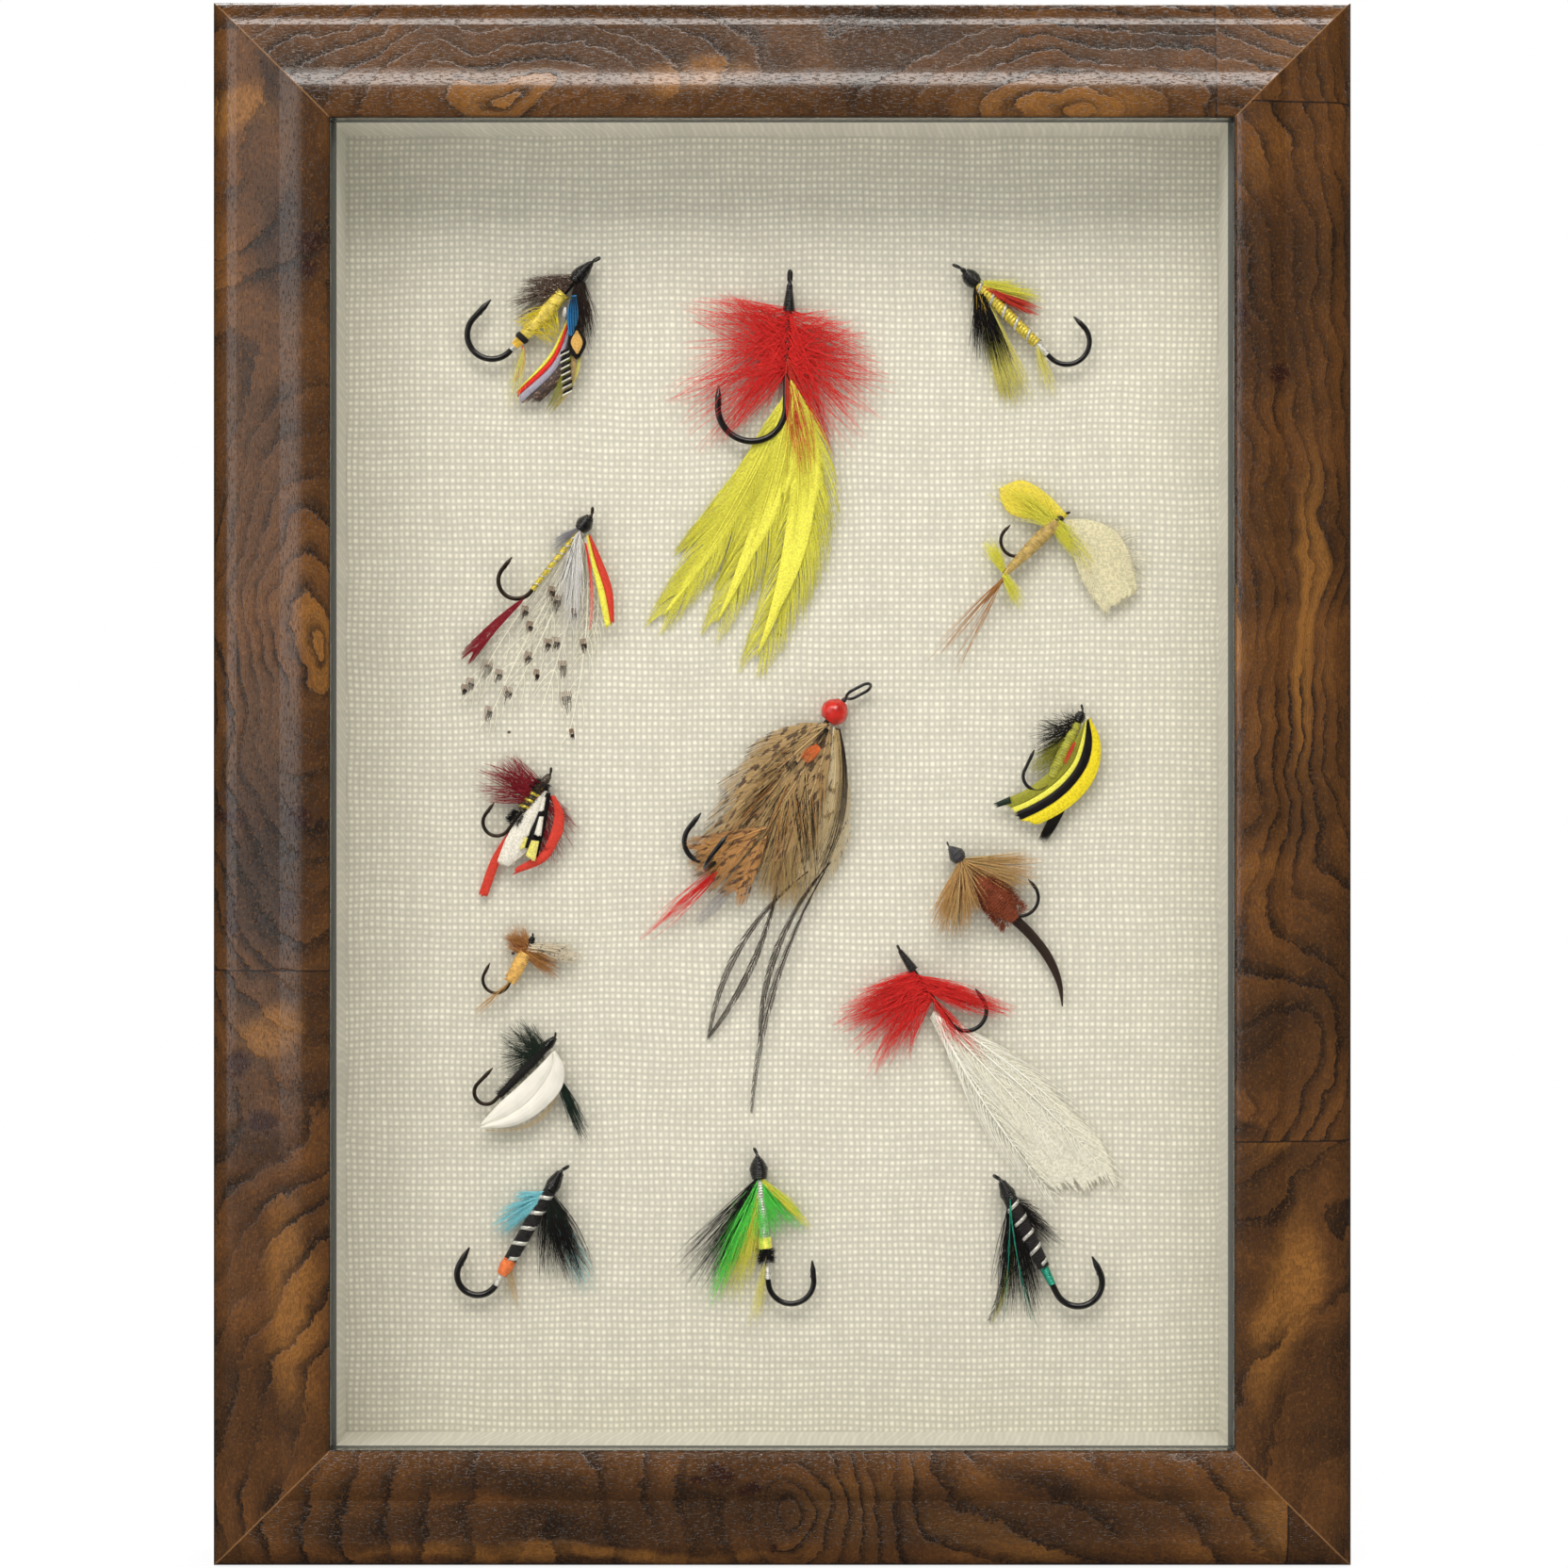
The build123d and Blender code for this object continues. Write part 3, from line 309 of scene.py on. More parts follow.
def joint_shift(g, along, joints):
    """Where the veneer was pieced: past each joint the figure comes from another leaf."""
    shift = None
    for place, offset in joints:
        past = g.maths("GREATER_THAN", along, place * mm)
        step = g.node("ShaderNodeVectorMath", {0: tuple(o * mm for o in offset)}, operation="SCALE")
        g.feed(step.inputs["Scale"], past)
        moved = step.outputs[0]
        shift = moved if shift is None else g.vector("ADD", shift, moved)
    return shift


def veneer(name, eyes, pitch, dark, gold, knots, across_x, joints=()):
    """One rail's figured veneer. eyes, dark, gold and knots are places on the frame's front, in mm."""
    g = Graph(name)
    parts = g.node("ShaderNodeSeparateXYZ", {0: g.place})
    along = parts.outputs["X"] if across_x else parts.outputs["Z"]
    place = g.place
    if joints:
        place = g.vector("ADD", g.place, joint_shift(g, along, joints))
    wide = g.node("ShaderNodeTexNoise", {"Vector": place, "Scale": 42.0, "Detail": 3.0})
    drift = g.vector("SUBTRACT", wide.outputs["Color"], (0.5, 0.5, 0.5))
    drift = g.node("ShaderNodeVectorMath", {0: drift, "Scale": 16 * mm}, operation="SCALE")
    warp = g.vector("ADD", place, drift.outputs[0])

    tooth_scale = (520.0, 1.0, 1500.0) if across_x else (1500.0, 1.0, 520.0)
    teeth = g.noise(g.vector("MULTIPLY", place, tooth_scale), 1.0, 3.0, 0.7)
    field = eye_rings(g, warp, eyes)
    rings = g.maths("DIVIDE", field, pitch)
    rings = g.plus(rings, g.times(g.noise(warp, 110.0, 3.0, 0.6), 0.8))
    rings = g.plus(rings, g.times(teeth, 0.42))
    phase = g.maths("FRACT", rings)
    late_wood = ((0.0, 1.0), (0.10, 0.85), (0.30, 0.35), (0.60, 0.05), (0.90, 0.0), (0.96, 1.0))
    late = g.ramp(phase, *[(spot, (level, level, level, 1)) for spot, level in late_wood])
    strength = g.span(g.noise(warp, 45.0, 2.0), 0.35, 0.65, 0.25, 1.0)
    late = g.times(late, strength)
    drifting = g.noise(place, 400.0, 3.0, 0.6)
    fine_rings = g.plus(g.times(rings, 5.0), g.times(drifting, 3.0))
    fine = g.span(g.size(g.minus(g.maths("FRACT", fine_rings), 0.5)), 0.5, 0.12)

    cloud = g.noise(warp, 30.0, 4.0, 0.6)
    ground = g.ramp(
        cloud,
        (0.28, linear(54, 33, 16)),
        (0.44, linear(78, 49, 21)),
        (0.58, linear(98, 61, 26)),
        (0.74, linear(122, 79, 32)),
    )
    if gold:
        ground = g.mix(g.times(patches(g, warp, gold), 0.8), ground, linear(142, 94, 38))
    # Dark patches: the figure's smoky areas, and on the bottom rail one wide patch of painted shade
    if dark:
        ground = g.mix(g.times(patches(g, warp, dark), 0.7), ground, linear(42, 28, 18))
    ground = g.mix(g.times(fine, 0.34), ground, linear(44, 28, 16))
    figured = g.mix(g.times(late, 0.92), ground, linear(28, 20, 14))
    if knots:
        figured = g.mix(g.times(patches(g, warp, knots), 0.85), figured, linear(40, 18, 14))

    pore_scale = (600.0, 1.0, 3400.0) if across_x else (3400.0, 1.0, 600.0)
    pore_noise = g.noise(g.vector("MULTIPLY", place, pore_scale), 1.0, 2.0, 0.7)
    pores = g.span(pore_noise, 0.54, 0.68)
    colour = g.mix(g.times(pores, 0.5), figured, linear(30, 20, 13))
    fleck = g.noise(place, 1500.0, 3.0, 0.7)
    colour = g.mix(g.span(fleck, 0.5, 0.78, 0.0, 0.3), colour, linear(150, 100, 46))
    for joint, _ in joints:
        seam = g.span(g.size(g.minus(along, joint * mm)), 0.3 * mm, 0.12 * mm)
        colour = g.mix(g.times(seam, 0.75), colour, linear(26, 18, 14))

    from_side = g.minus(outer_half_width, g.size(parts.outputs["X"]))
    below_top = g.minus(outer_height, parts.outputs["Z"])
    from_end = g.maths("MINIMUM", parts.outputs["Z"], below_top)
    off_mitre = g.size(g.minus(from_side, from_end))
    filler = g.span(off_mitre, 0.34 * mm, 0.14 * mm)
    colour = g.mix(g.times(filler, 0.45), colour, linear(156, 114, 72))

    # A dark line round the sight edge: partly the lip's own dark inner bevel, partly painted shade of the
    # gap under the lip
    to_sight = g.minus(g.size(parts.outputs["X"]), sight_right)
    beyond = g.size(g.minus(parts.outputs["Z"], frame_middle))
    to_sight = g.maths("MAXIMUM", to_sight, g.minus(beyond, (sight_top - sight_bottom) / 2))
    colour = g.mix(g.span(to_sight, 0.3 * mm, 0.1 * mm), colour, linear(34, 30, 28))

    swell = g.bump(g.noise(warp, 60.0, 2.0), 0.25)
    grain = g.bump(g.minus(1.0, late), 0.045, normal=swell)
    grain = g.bump(g.minus(1.0, pores), 0.04, normal=grain)
    return g.principled(
        Base_Color=colour,
        Roughness=0.5,
        Specular_IOR_Level=0.05,
        Normal=grain,
        Coat_Weight=1.0,
        Coat_Roughness=0.16,
        Coat_IOR=1.65,
        Coat_Normal=grain,
    )


def rail_woods():
    return {
        "top_rail": veneer(
            "top_veneer",
            eyes=[(-63, 330, 5, 2.6, 1.0, 0), (66, 326, 0, 2.4, 1.0, 3), (-8, 380, -30, 2.6, 1.6, 10)],
            pitch=3.6,
            dark=[(-108, 332, 12, 8, 0), (20, 346, 30, 5, -10), (88, 344, 14, 6, 10)],
            gold=[(-63, 331, 20, 7, 5), (64, 328, 30, 7, 0), (108, 336, 10, 12, 0), (-20, 334, 18, 6, 0)],
            knots=[(2, 333, 4, 2, 30)],
            across_x=True,
            joints=[(96.8, (34, 0, 60))],
        ),
        "left_rail": veneer(
            "left_veneer",
            eyes=[(-105, 211, 90, 2.8, 1.0, 0), (-62, 20, 0, 2.4, 2.4, 0), (-140, 330, 0, 3.0, 3.0, 6)],
            pitch=3.2,
            dark=[
                (-112, 300, 20, 10, 90), (-114, 158, 26, 14, 90), (-118, 96, 12, 8, 0),
                (-103, 108, 8, 5, 0),
            ],
            gold=[
                (-105, 211, 18, 5, 90), (-122, 330, 12, 6, 0), (-108, 60, 30, 8, 90),
                (-114, 120, 10, 8, 0),
            ],
            knots=[
                (-107, 302, 4, 3, 0), (-107, 296, 3, 3, 0), (-123, 173, 4, 3, 0), (-108, 173, 4, 3, 0),
                (-110, 152, 4, 3, 0), (-122, 149, 3, 3, 0), (-121, 114, 4, 4, 0), (-116, 101, 5, 4, 0),
            ],
            across_x=False,
            joints=[(134.0, (0, 0, 4))],
        ),
        "right_rail": veneer(
            "right_veneer",
            eyes=[(102, 241, 90, 5.0, 1.0, 0), (109, 134, 60, 2.4, 1.4, 2), (172, -10, 0, 3.6, 3.6, 4)],
            pitch=3.3,
            dark=[(110, 316, 34, 22, 90), (112, 150, 16, 8, 50), (109, 128, 8, 4, -30)],
            gold=[
                (123, 244, 46, 4, 90), (104, 236, 30, 4, 90), (114, 100, 14, 8, 45), (112, 60, 30, 8, 80),
            ],
            knots=[
                (104, 300, 3, 3, 0), (103, 308, 3, 3, 0), (108, 312, 3, 4, 0), (105, 320, 4, 3, 0),
                (117, 296, 3, 4, 0),
            ],
            across_x=False,
            joints=[(95.9, (6, 0, 30)), (328.0, (20, 0, 14))],
        ),
        "bottom_rail": veneer(
            "bottom_veneer",
            eyes=[(-55, -60, 90, 14.0, 2.2, 0), (2, 12, 90, 1.4, 1.0, 2), (20, -60, 0, 3.0, 3.0, 8)],
            pitch=3.6,
            # The last, widest dark patch is painted shade: it darkens most of the bottom rail, which less
            # of the light from above reaches
            dark=[(-66, 8, 56, 8, 0), (60, 18, 20, 6, -30), (-60, 20, 30, 6, 0), (30, 12, 110, 12, 0)],
            gold=[(16, 14, 14, 10, 0), (-50, 2, 60, 3, 0), (48, 8, 26, 6, -20), (112, 10, 10, 10, 0)],
            knots=[(-14, 22, 3, 3, 0), (-8, 19, 4, 3, 0), (-18, 20, 3, 2, 0), (-2, 4, 2, 2, 0)],
            across_x=True,
            joints=[(113.0, (14, 0, 30))],
        ),
    }


# Other materials


def linen_material(name, tint, specks=(), lip_shadow_from=None):
    """Plain weave, uneven as spun flax is, the weft a little wider apart. specks are places in mm."""
    g = Graph(name)
    warp_pitch, weft_pitch = 1.32 * mm, 1.5 * mm
    parts = g.node("ShaderNodeSeparateXYZ", {0: g.place})
    depth = parts.outputs["Y"]
    wander = g.times(g.minus(g.noise(g.place, 34.0, 3.0), 0.5), 3.0 * mm)
    across = g.plus(g.minus(parts.outputs["X"], depth), wander)
    along = g.minus(g.minus(parts.outputs["Z"], depth), wander)
    warp_wave = g.maths("COSINE", g.times(across, math.pi / warp_pitch))
    weft_wave = g.maths("COSINE", g.times(along, math.pi / weft_pitch))
    warp_on_top = g.maths("GREATER_THAN", g.times(warp_wave, weft_wave), 0.0)
    over_warp = g.size(warp_wave)
    over_weft = g.size(weft_wave)
    lengthwise = g.times(over_warp, g.maths("POWER", over_weft, 0.7))
    crosswise = g.times(over_weft, g.maths("POWER", over_warp, 0.7))
    warp_part = g.times(g.times(warp_on_top, lengthwise), 0.8)
    weave = g.plus(warp_part, g.times(g.minus(1.0, warp_on_top), crosswise))
    warp_slubs = g.noise(g.vector("MULTIPLY", g.place, (760.0, 1.0, 70.0)), 1.0, 1.0)
    weft_slubs = g.noise(g.vector("MULTIPLY", g.place, (70.0, 1.0, 660.0)), 1.0, 1.0)
    slubs = g.plus(warp_slubs, weft_slubs)
    # The colour follows the weave's relief: darker in the gaps between threads as painted shade, lighter
    # on the thread crowns as painted highlight; the slubs add the flax's own uneven tone
    tone = g.plus(g.times(weave, 0.55), g.times(slubs, 0.32))
    low = shade(tint, 0.905)
    middle = shade(tint, 0.965)
    high = shade(tint, 1.12)
    colour = g.ramp(tone, (0.28, low), (0.58, middle), (0.88, high))
    if specks:
        colour = g.mix(patches(g, g.place, specks), colour, linear(70, 56, 46))
    # Painted shadow: the front 1 to 1.5 mm of the liner, against the glass, is coloured dark grey-green
    # as the shade that falls under the rails' lip
    if lip_shadow_from is not None:
        painted_lip_shadow = g.span(depth, lip_shadow_from + 1.5 * mm, lip_shadow_from + 0.9 * mm)
        colour = g.mix(painted_lip_shadow, colour, linear(92, 94, 88))
    return g.principled(Base_Color=colour, Roughness=0.9, Sheen_Weight=0.1, Normal=g.bump(tone, 0.14))


def plain(name, rgb, roughness, metallic=0.0, grain=400.0, spread=0.12, depth=0.02, **extra):
    """A material with a fine mottle in its colour and a little relief."""
    g = Graph(name)
    mottle = g.noise(g.place, grain, 3.0, 0.6)
    low = shade(rgb, 1 - spread)
    high = shade(rgb, 1 + spread)
    colour = g.ramp(mottle, (0.3, low), (0.7, high))
    look = {"Base_Color": colour, "Roughness": roughness, "Metallic": metallic}
    return g.principled(Normal=g.bump(mottle, depth), **look, **extra)


def glass_material():
    g = Graph("picture_glass")
    clear = g.node("ShaderNodeBsdfTransparent", {"Color": (0.985, 0.98, 0.975, 1)})
    shine = g.node("ShaderNodeBsdfGlossy", {"Color": (1, 1, 1, 1), "Roughness": 0.02})
    mixed = g.node("ShaderNodeMixShader", {0: 0.03, 1: clear.outputs[0], 2: shine.outputs[0]})
    g.tree.links.new(mixed.outputs[0], g.out.inputs["Surface"])
    return g.material


def dress(node_name, material):
    piece = nodes[node_name]
    if not piece.material_slots:
        piece.data.materials.append(material)
    for slot in piece.material_slots:
        slot.material = material


def dress_frame():
    for name, material in rail_woods().items():
        dress(name, material)
    # the liners' front edge gets a painted shadow of the lip
    linen = linen_material("liner_linen", (213, 211, 197), lip_shadow_from=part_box("left_liner")[0].y)
    for side in ("top", "bottom", "left", "right"):
        dress(f"{side}_liner", linen)
    dress("glazing", glass_material())
    dress("mount_board", plain("mount_card", (205, 198, 180), 0.85))
    dress("backing_board", plain("backing_hardboard", (112, 78, 48), 0.75, grain=700.0, spread=0.2))
    steel = plain("zinc_steel", (172, 172, 168), 0.45, 0.5)
    brass = plain("brass_plate_metal", (200, 162, 88), 0.42, 0.5)
    dress("corner_v_nails", steel)
    for side in ("top", "bottom", "left", "right"):
        dress(f"{side}_turn_button", brass)
    dress("turn_button_screws", steel)
    dress("hanger_screws", steel)
    for side in ("left", "right"):
        dress(f"{side}_hanger_plate", brass)
        dress(f"{side}_hanger_ring", steel)
    dress("bumper_pads", plain("felt_pads", (60, 52, 46), 0.95, grain=900.0, spread=0.25))


def linen_sheet(material):
    """The stretched linen as a slightly uneven cloth over the mount board."""
    columns, rows = 90, 130
    lift, swell = 0.12 * mm, 0.10 * mm
    width = linen_high.x - linen_low.x
    height = linen_high.z - linen_low.z
    vertices = []
    for row in range(rows + 1):
        for column in range(columns + 1):
            x = linen_low.x + width * column / columns
            z = linen_low.z + height * row / rows
            ripple = math.sin(x * 61 + 1.3) * math.sin(z * 47 + 0.4) * swell
            vertices.append((x, linen_face + lift + ripple, z))
    step = columns + 1
    faces = [
        (r * step + c, r * step + c + 1, (r + 1) * step + c + 1, (r + 1) * step + c)
        for r in range(rows)
        for c in range(columns)
    ]
    sheet = make_mesh("stretched_linen", vertices, faces, material)
    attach(sheet, "root")
    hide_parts("linen_panel")


# Fly dressing: materials


dyes = {
    "black": (24, 20, 20),
    "red": (242, 46, 42),
    "crimson": (150, 24, 42),
    "scarlet": (222, 66, 48),
    "orange": (236, 122, 58),
    "yellow": (255, 246, 92),
    "gold_yellow": (226, 182, 52),
    "pale_yellow": (244, 236, 128),
    "olive": (164, 164, 52),
    "green": (104, 240, 92),
    "dark_green": (34, 52, 40),
    "sky_blue": (150, 232, 244),
    "kingfisher_blue": (36, 128, 190),
    "white": (255, 254, 246),
    "cream": (254, 251, 232),
    "ivory": (246, 241, 228),
    "golden_yellow": (248, 226, 34),
    "ash_grey": (150, 150, 158),
    "lilac_grey": (176, 174, 190),
    "brown": (128, 82, 44),
    "tan": (212, 168, 104),
    "ginger": (190, 134, 72),
    "straw": (206, 176, 118),
    "rust": (152, 74, 42),
    "dark_brown": (54, 40, 32),
    "amber": (230, 184, 98),
    "pale_cream": (244, 238, 212),
    "teal_green": (24, 110, 84),
    "maize": (224, 202, 86),
    "buff": (190, 162, 88),
}


def once(make):
    """Keeps what a maker of materials made under a name or for a dye, for the next use."""
    made = {}

    def again(name, *values):
        if name not in made:
            made[name] = make(name, *values)
        return made[name]

    return again


@once
def fibre(dye):
    """Dyed feather or hair, a little lighter and darker from strand to strand."""
    g = Graph(f"{dye}_fibre")
    low, high = shade(dyes[dye], 0.91), shade(dyes[dye], 1.05)
    colour = g.ramp(g.noise(g.place, 2400.0, 1.0), (0.32, low), (0.62, high))
    look = {"Roughness": 0.45, "Sheen_Weight": 0.06, "Specular_IOR_Level": 0.3}
    return g.sheer(colour, 0.2, Base_Color=colour, **look)


@once
def web(name, rgb):
    """The half-clear sheet that very fine down makes."""
    g = Graph(name)
    down = g.noise(g.place, 1600.0, 3.0, 0.7)
    colour = g.ramp(down, (0.35, shade(rgb, 0.9)), (0.65, linear(*rgb)))
    cover = g.span(down, 0.38, 0.62, 0.55, 0.72)
    return g.sheer(colour, 0.12, Base_Color=colour, Roughness=0.7, Alpha=cover)


@once
def speckled(name, ground, spot, size, share, lean=0.0, drawn=1.0):
    """A feather with small spots, as guinea fowl have, drawn out along its lean in degrees."""
    g = Graph(name)
    where = g.mapped(turn=(0, math.radians(lean), 0), scale=(size, size, size * drawn))
    spots = g.span(g.noise(where, 1.0, 2.0, 0.6), share, share + 0.08)
    colour = g.mix(spots, linear(*ground), linear(*spot))
    return g.principled(Base_Color=colour, Roughness=0.5, Sheen_Weight=0.2)


@once
def thread(dye, roughness=0.38):
    g = Graph(f"{dye}_silk")
    low, high = shade(dyes[dye], 0.8), shade(dyes[dye], 1.1)
    colour = g.ramp(g.noise(g.place, 900.0, 2.0), (0.3, low), (0.7, high))
    return g.principled(Base_Color=colour, Roughness=roughness, Sheen_Weight=0.08)


@once
def tinsel(name, rgb):
    g = Graph(name)
    dent = g.noise(g.place, 1400.0, 2.0)
    colour = g.ramp(dent, (0.3, shade(rgb, 0.7)), (0.6, linear(*rgb)))
    return g.principled(Base_Color=colour, Metallic=0.35, Roughness=0.24, Normal=g.bump(dent, 0.05))


@once
def lacquer(name, rgb):
    g = Graph(name)
    flow = g.noise(g.place, 500.0, 2.0)
    colour = g.ramp(flow, (0.35, shade(rgb, 0.8)), (0.65, linear(*rgb)))
    look = {"Roughness": 0.4, "Specular_IOR_Level": 0.1, "Coat_Weight": 1.0, "Coat_Roughness": 0.05}
    return g.principled(Base_Color=colour, Normal=g.bump(flow, 0.06), **look)


def silver():
    return tinsel("silver_tinsel", (222, 222, 214))


def gilt():
    return tinsel("gilt_tinsel", (238, 216, 84))


def teal():
    return tinsel("teal_tinsel", (40, 168, 140))


def white_down(name, rgb):
    return plain(name, rgb, 0.6, spread=0.03, depth=0, Sheen_Weight=0.15)


# Fly dressing: shapes. Points are (x, z, height) in millimetres, from the hook's eye and up
# from the linen.

upward = np.array((0.0, 0.0, 1.0))
sheet_gauge = 0.14
linen_clearance = 0.12


class Tuft:
    """One piece of a fly: strands, tapes and wound bodies gathered into one mesh."""

    def __init__(self, fly, name, material):
        self.fly, self.name, self.material = fly, name, material
        self.points, self.quads, self.caps, self.total = [], [], [], 0

    def sweep(self, line, across, up, outline):
        """A closed solid with the outline's corners carried along a line."""
        outline = np.asarray(outline, float)
        if outline.ndim == 2:
            outline = np.repeat(outline[None], len(line), axis=0)
        ring = line[:, None] + outline[:, :, :1] * across[:, None] + outline[:, :, 1:] * up[:, None]
        rows, sides = ring.shape[:2]
        index = np.arange(rows * sides).reshape(rows, sides) + self.total
        after = np.roll(index, -1, axis=1)
        quads = np.stack([index[:-1], index[1:], after[1:], after[:-1]], axis=-1)
        self.points.append(ring.reshape(-1, 3))
        self.quads.append(quads.reshape(-1, 4))
        self.caps.append(list(index[0]))
        self.caps.append(list(index[-1][::-1]))
        self.total += rows * sides

    def strand(self, line, thick, tip=0.25):
        """A tapered fibre with a three-cornered section."""
        line = np.asarray(line, float)
        along = np.gradient(line, axis=0)
        along /= np.linalg.norm(along, axis=1, keepdims=True) + 1e-9
        across = np.cross(along, upward)
        size = np.linalg.norm(across, axis=1, keepdims=True)
        across = np.where(size > 1e-3, across / (size + 1e-9), (1.0, 0.0, 0.0))
        up = np.cross(across, along)
        share = np.linspace(0, 1, len(line))
        radius = thick / 2 * (1 - (1 - tip) * share**2)
        corners = [(math.cos(a), math.sin(a)) for a in (0.5, 2.6, 4.7)]
        self.sweep(line, across, up, radius[:, None, None] * np.asarray(corners)[None])

    def wound(self, start, stop, radii, pitch):
        """A round body on the shank, its radii evenly spaced. pitch is the thread's."""
        fly = self.fly
        sides = 18
        thread_relief = 0.16  # of the thread's pitch
        rows = max(12, int((stop - start) / pitch * 6)) if pitch else 16
        distance = np.linspace(start, stop, rows)
        radius = np.interp(distance, np.linspace(start, stop, len(radii)), radii)
        turn = np.arange(sides) * 2 * math.pi / sides
        wave = np.zeros((rows, sides))
        if pitch:
            wave = thread_relief * pitch * np.sin(2 * math.pi * distance[:, None] / pitch + turn[None])
        size = radius[:, None] + wave
        line = np.array([fly.on(d) for d in distance])
        across = -np.tile(fly.side, (rows, 1))
        up = np.tile(upward, (rows, 1))
        outline = np.stack([np.cos(turn)[None] * size, np.sin(turn)[None] * size], axis=-1)
        self.sweep(line, across, up, outline)

    def rib(self, start, stop, radius, turns, width, gauge=0.12, phase=0.0):
        """A flat tape wound in an open spiral over a body."""
        fly = self.fly
        share = np.linspace(0, 1, int(turns * 16) + 2)
        turn = phase + share * turns * 2 * math.pi
        size = np.interp(share, np.linspace(0, 1, len(radius)), radius)[:, None]
        out = np.cos(turn)[:, None] * np.array(fly.side) + np.sin(turn)[:, None] * upward
        line = np.array([fly.on(d) for d in start + share * (stop - start)]) + out * size
        across = np.tile(fly.along, (len(line), 1))
        half, lift = width / 2, gauge / 2
        self.sweep(line, across, -out, [(-half, -lift), (half, -lift), (half, lift), (-half, lift)])

    def spray(
        self, roots, tips, count, thick=0.11, reach=(0.72, 1.02), bow=0.08, low=0.5, high=4.5,
        stray=0.8, locks=0,
    ):
        """Fibres to an outline of tips, from a stretch of the shank or from between two points."""
        tips = np.asarray(tips, float)
        gathered = rng.random(locks) * (len(tips) - 1)
        for _ in range(count):
            spot = rng.random() * (len(tips) - 1)
            if locks and rng.random() < 0.6:
                spot = np.clip(rng.choice(gathered) + rng.normal(0, 0.06), 0, len(tips) - 1)
            near = int(min(spot, len(tips) - 2))
            tip = tips[near] + (tips[near + 1] - tips[near]) * (spot - near) + rng.normal(0, stray, 2)
            root = self.fly.root(roots)
            way = (tip - root[:2]) * rng.uniform(*reach)
            end = np.array([*(root[:2] + way), rng.uniform(low, high)])
            aside = np.array([-way[1], way[0], 0.0]) * rng.normal(0, bow)
            middle = (root + end) / 2 + aside + np.array([0, 0, rng.uniform(0, 0.8)])
            self.strand(curve(root, middle, end, 7), thick * rng.uniform(0.7, 1.25))

    def feather(
        self, root, tip, width, bow=0.0, barbs=60, sweep=32, low=1.0, high=3.2, thick=0.13,
        widest=0.4, gaps=0.06,
    ):
        """A feather: a tapered rib and curved barbs on both sides."""
        root, tip = np.asarray(root, float), np.asarray(tip, float)
        way = tip - root
        size = np.linalg.norm(way)
        aside = np.array([-way[1], way[0]]) / size
        middle = (root + tip) / 2 + aside * bow * 2
        spine = curve(np.array([*root, high]), np.array([*middle, high]), np.array([*tip, low]), 24)
        self.strand(spine, thick * 2.6, tip=0.3)
        for spot in np.linspace(0.1, 0.985, barbs):
            for side in (-1, 1):
                if rng.random() < gaps:
                    continue
                at = spot * (len(spine) - 1)
                near = min(int(at), len(spine) - 2)
                base = spine[near] + (spine[near + 1] - spine[near]) * (at - near)
                along = spine[near + 1] - spine[near]
                along /= np.linalg.norm(along)
                out = np.array([-along[1], along[0], 0.0]) * side
                rise = (spot / widest) if spot < widest else (1 - (spot - widest) / (1 - widest)) ** 0.6
                reach = width / 2 * (0.25 + 0.75 * min(rise, 1.0)) * rng.uniform(0.88, 1.05)
                lean = math.radians(sweep * rng.uniform(0.9, 1.1))
                end = base + reach * (out + along / math.tan(lean))
                end[2] = base[2] - 0.25 * reach + rng.normal(0, 0.12)
                end[2] = max(end[2], 0.3)
                knee = base + reach * 0.55 * (out * 1.15 + along * 0.7)
                knee[2] = (base[2] + end[2]) / 2 + 0.15
                self.strand(curve(base, knee, end, 6), thick * rng.uniform(0.8, 1.15), tip=0.4)

    def slip(
        self, root, tip, width, bow=0.0, count=12, low=1.2, high=3.2, thick=0.16,
        narrow=0.4, ragged=0.03,
    ):
        """A strip of feather: fibres lying side by side."""
        root, tip = np.asarray(root, float), np.asarray(tip, float)
        way = tip - root
        size = np.linalg.norm(way)
        aside = np.array([-way[1], way[0]]) / size
        for share in np.linspace(-0.5, 0.5, count):
            start = root + aside * share * width * narrow
            stop = tip + aside * share * width * 0.7 - way * rng.uniform(0, ragged)
            middle = (root + tip) / 2 + aside * (bow * 2 + share * width * 1.2)
            line = curve(np.array([*start, high]), np.array([*middle, high]), np.array([*stop, low]), 9)
            line[:, 2] += rng.normal(0, 0.05)
            self.strand(line, thick, tip=0.5)

    def shell(self, top):
        """A thin closed sheet under a grid of points."""
        rows, columns = top.shape[:2]
        top = top.copy()
        top[:, :, 2] = np.maximum(top[:, :, 2], 0.3)
        under = top - upward * sheet_gauge
        grid = np.arange(rows * columns).reshape(rows, columns) + self.total
        low = grid + rows * columns

        def cells(a):
            return np.stack([a[:-1, :-1], a[1:, :-1], a[1:, 1:], a[:-1, 1:]], axis=-1).reshape(-1, 4)

        rim = np.concatenate([grid[:, 0], grid[-1, 1:], grid[-2::-1, -1], grid[0, -2:0:-1]])
        rim_low = np.concatenate([low[:, 0], low[-1, 1:], low[-2::-1, -1], low[0, -2:0:-1]])
        sides = np.stack([rim, rim_low, np.roll(rim_low, -1), np.roll(rim, -1)], axis=-1)
        faces = np.vstack([cells(grid), cells(low)[:, ::-1], sides])
        one = top[1, 0] - top[0, 0]
        two = top[0, 1] - top[0, 0]
        if np.cross(one, two)[2] < 0:
            faces = faces[:, ::-1]
        self.points.append(np.vstack([top.reshape(-1, 3), under.reshape(-1, 3)]))
        self.quads.append(faces)
        self.total += 2 * rows * columns

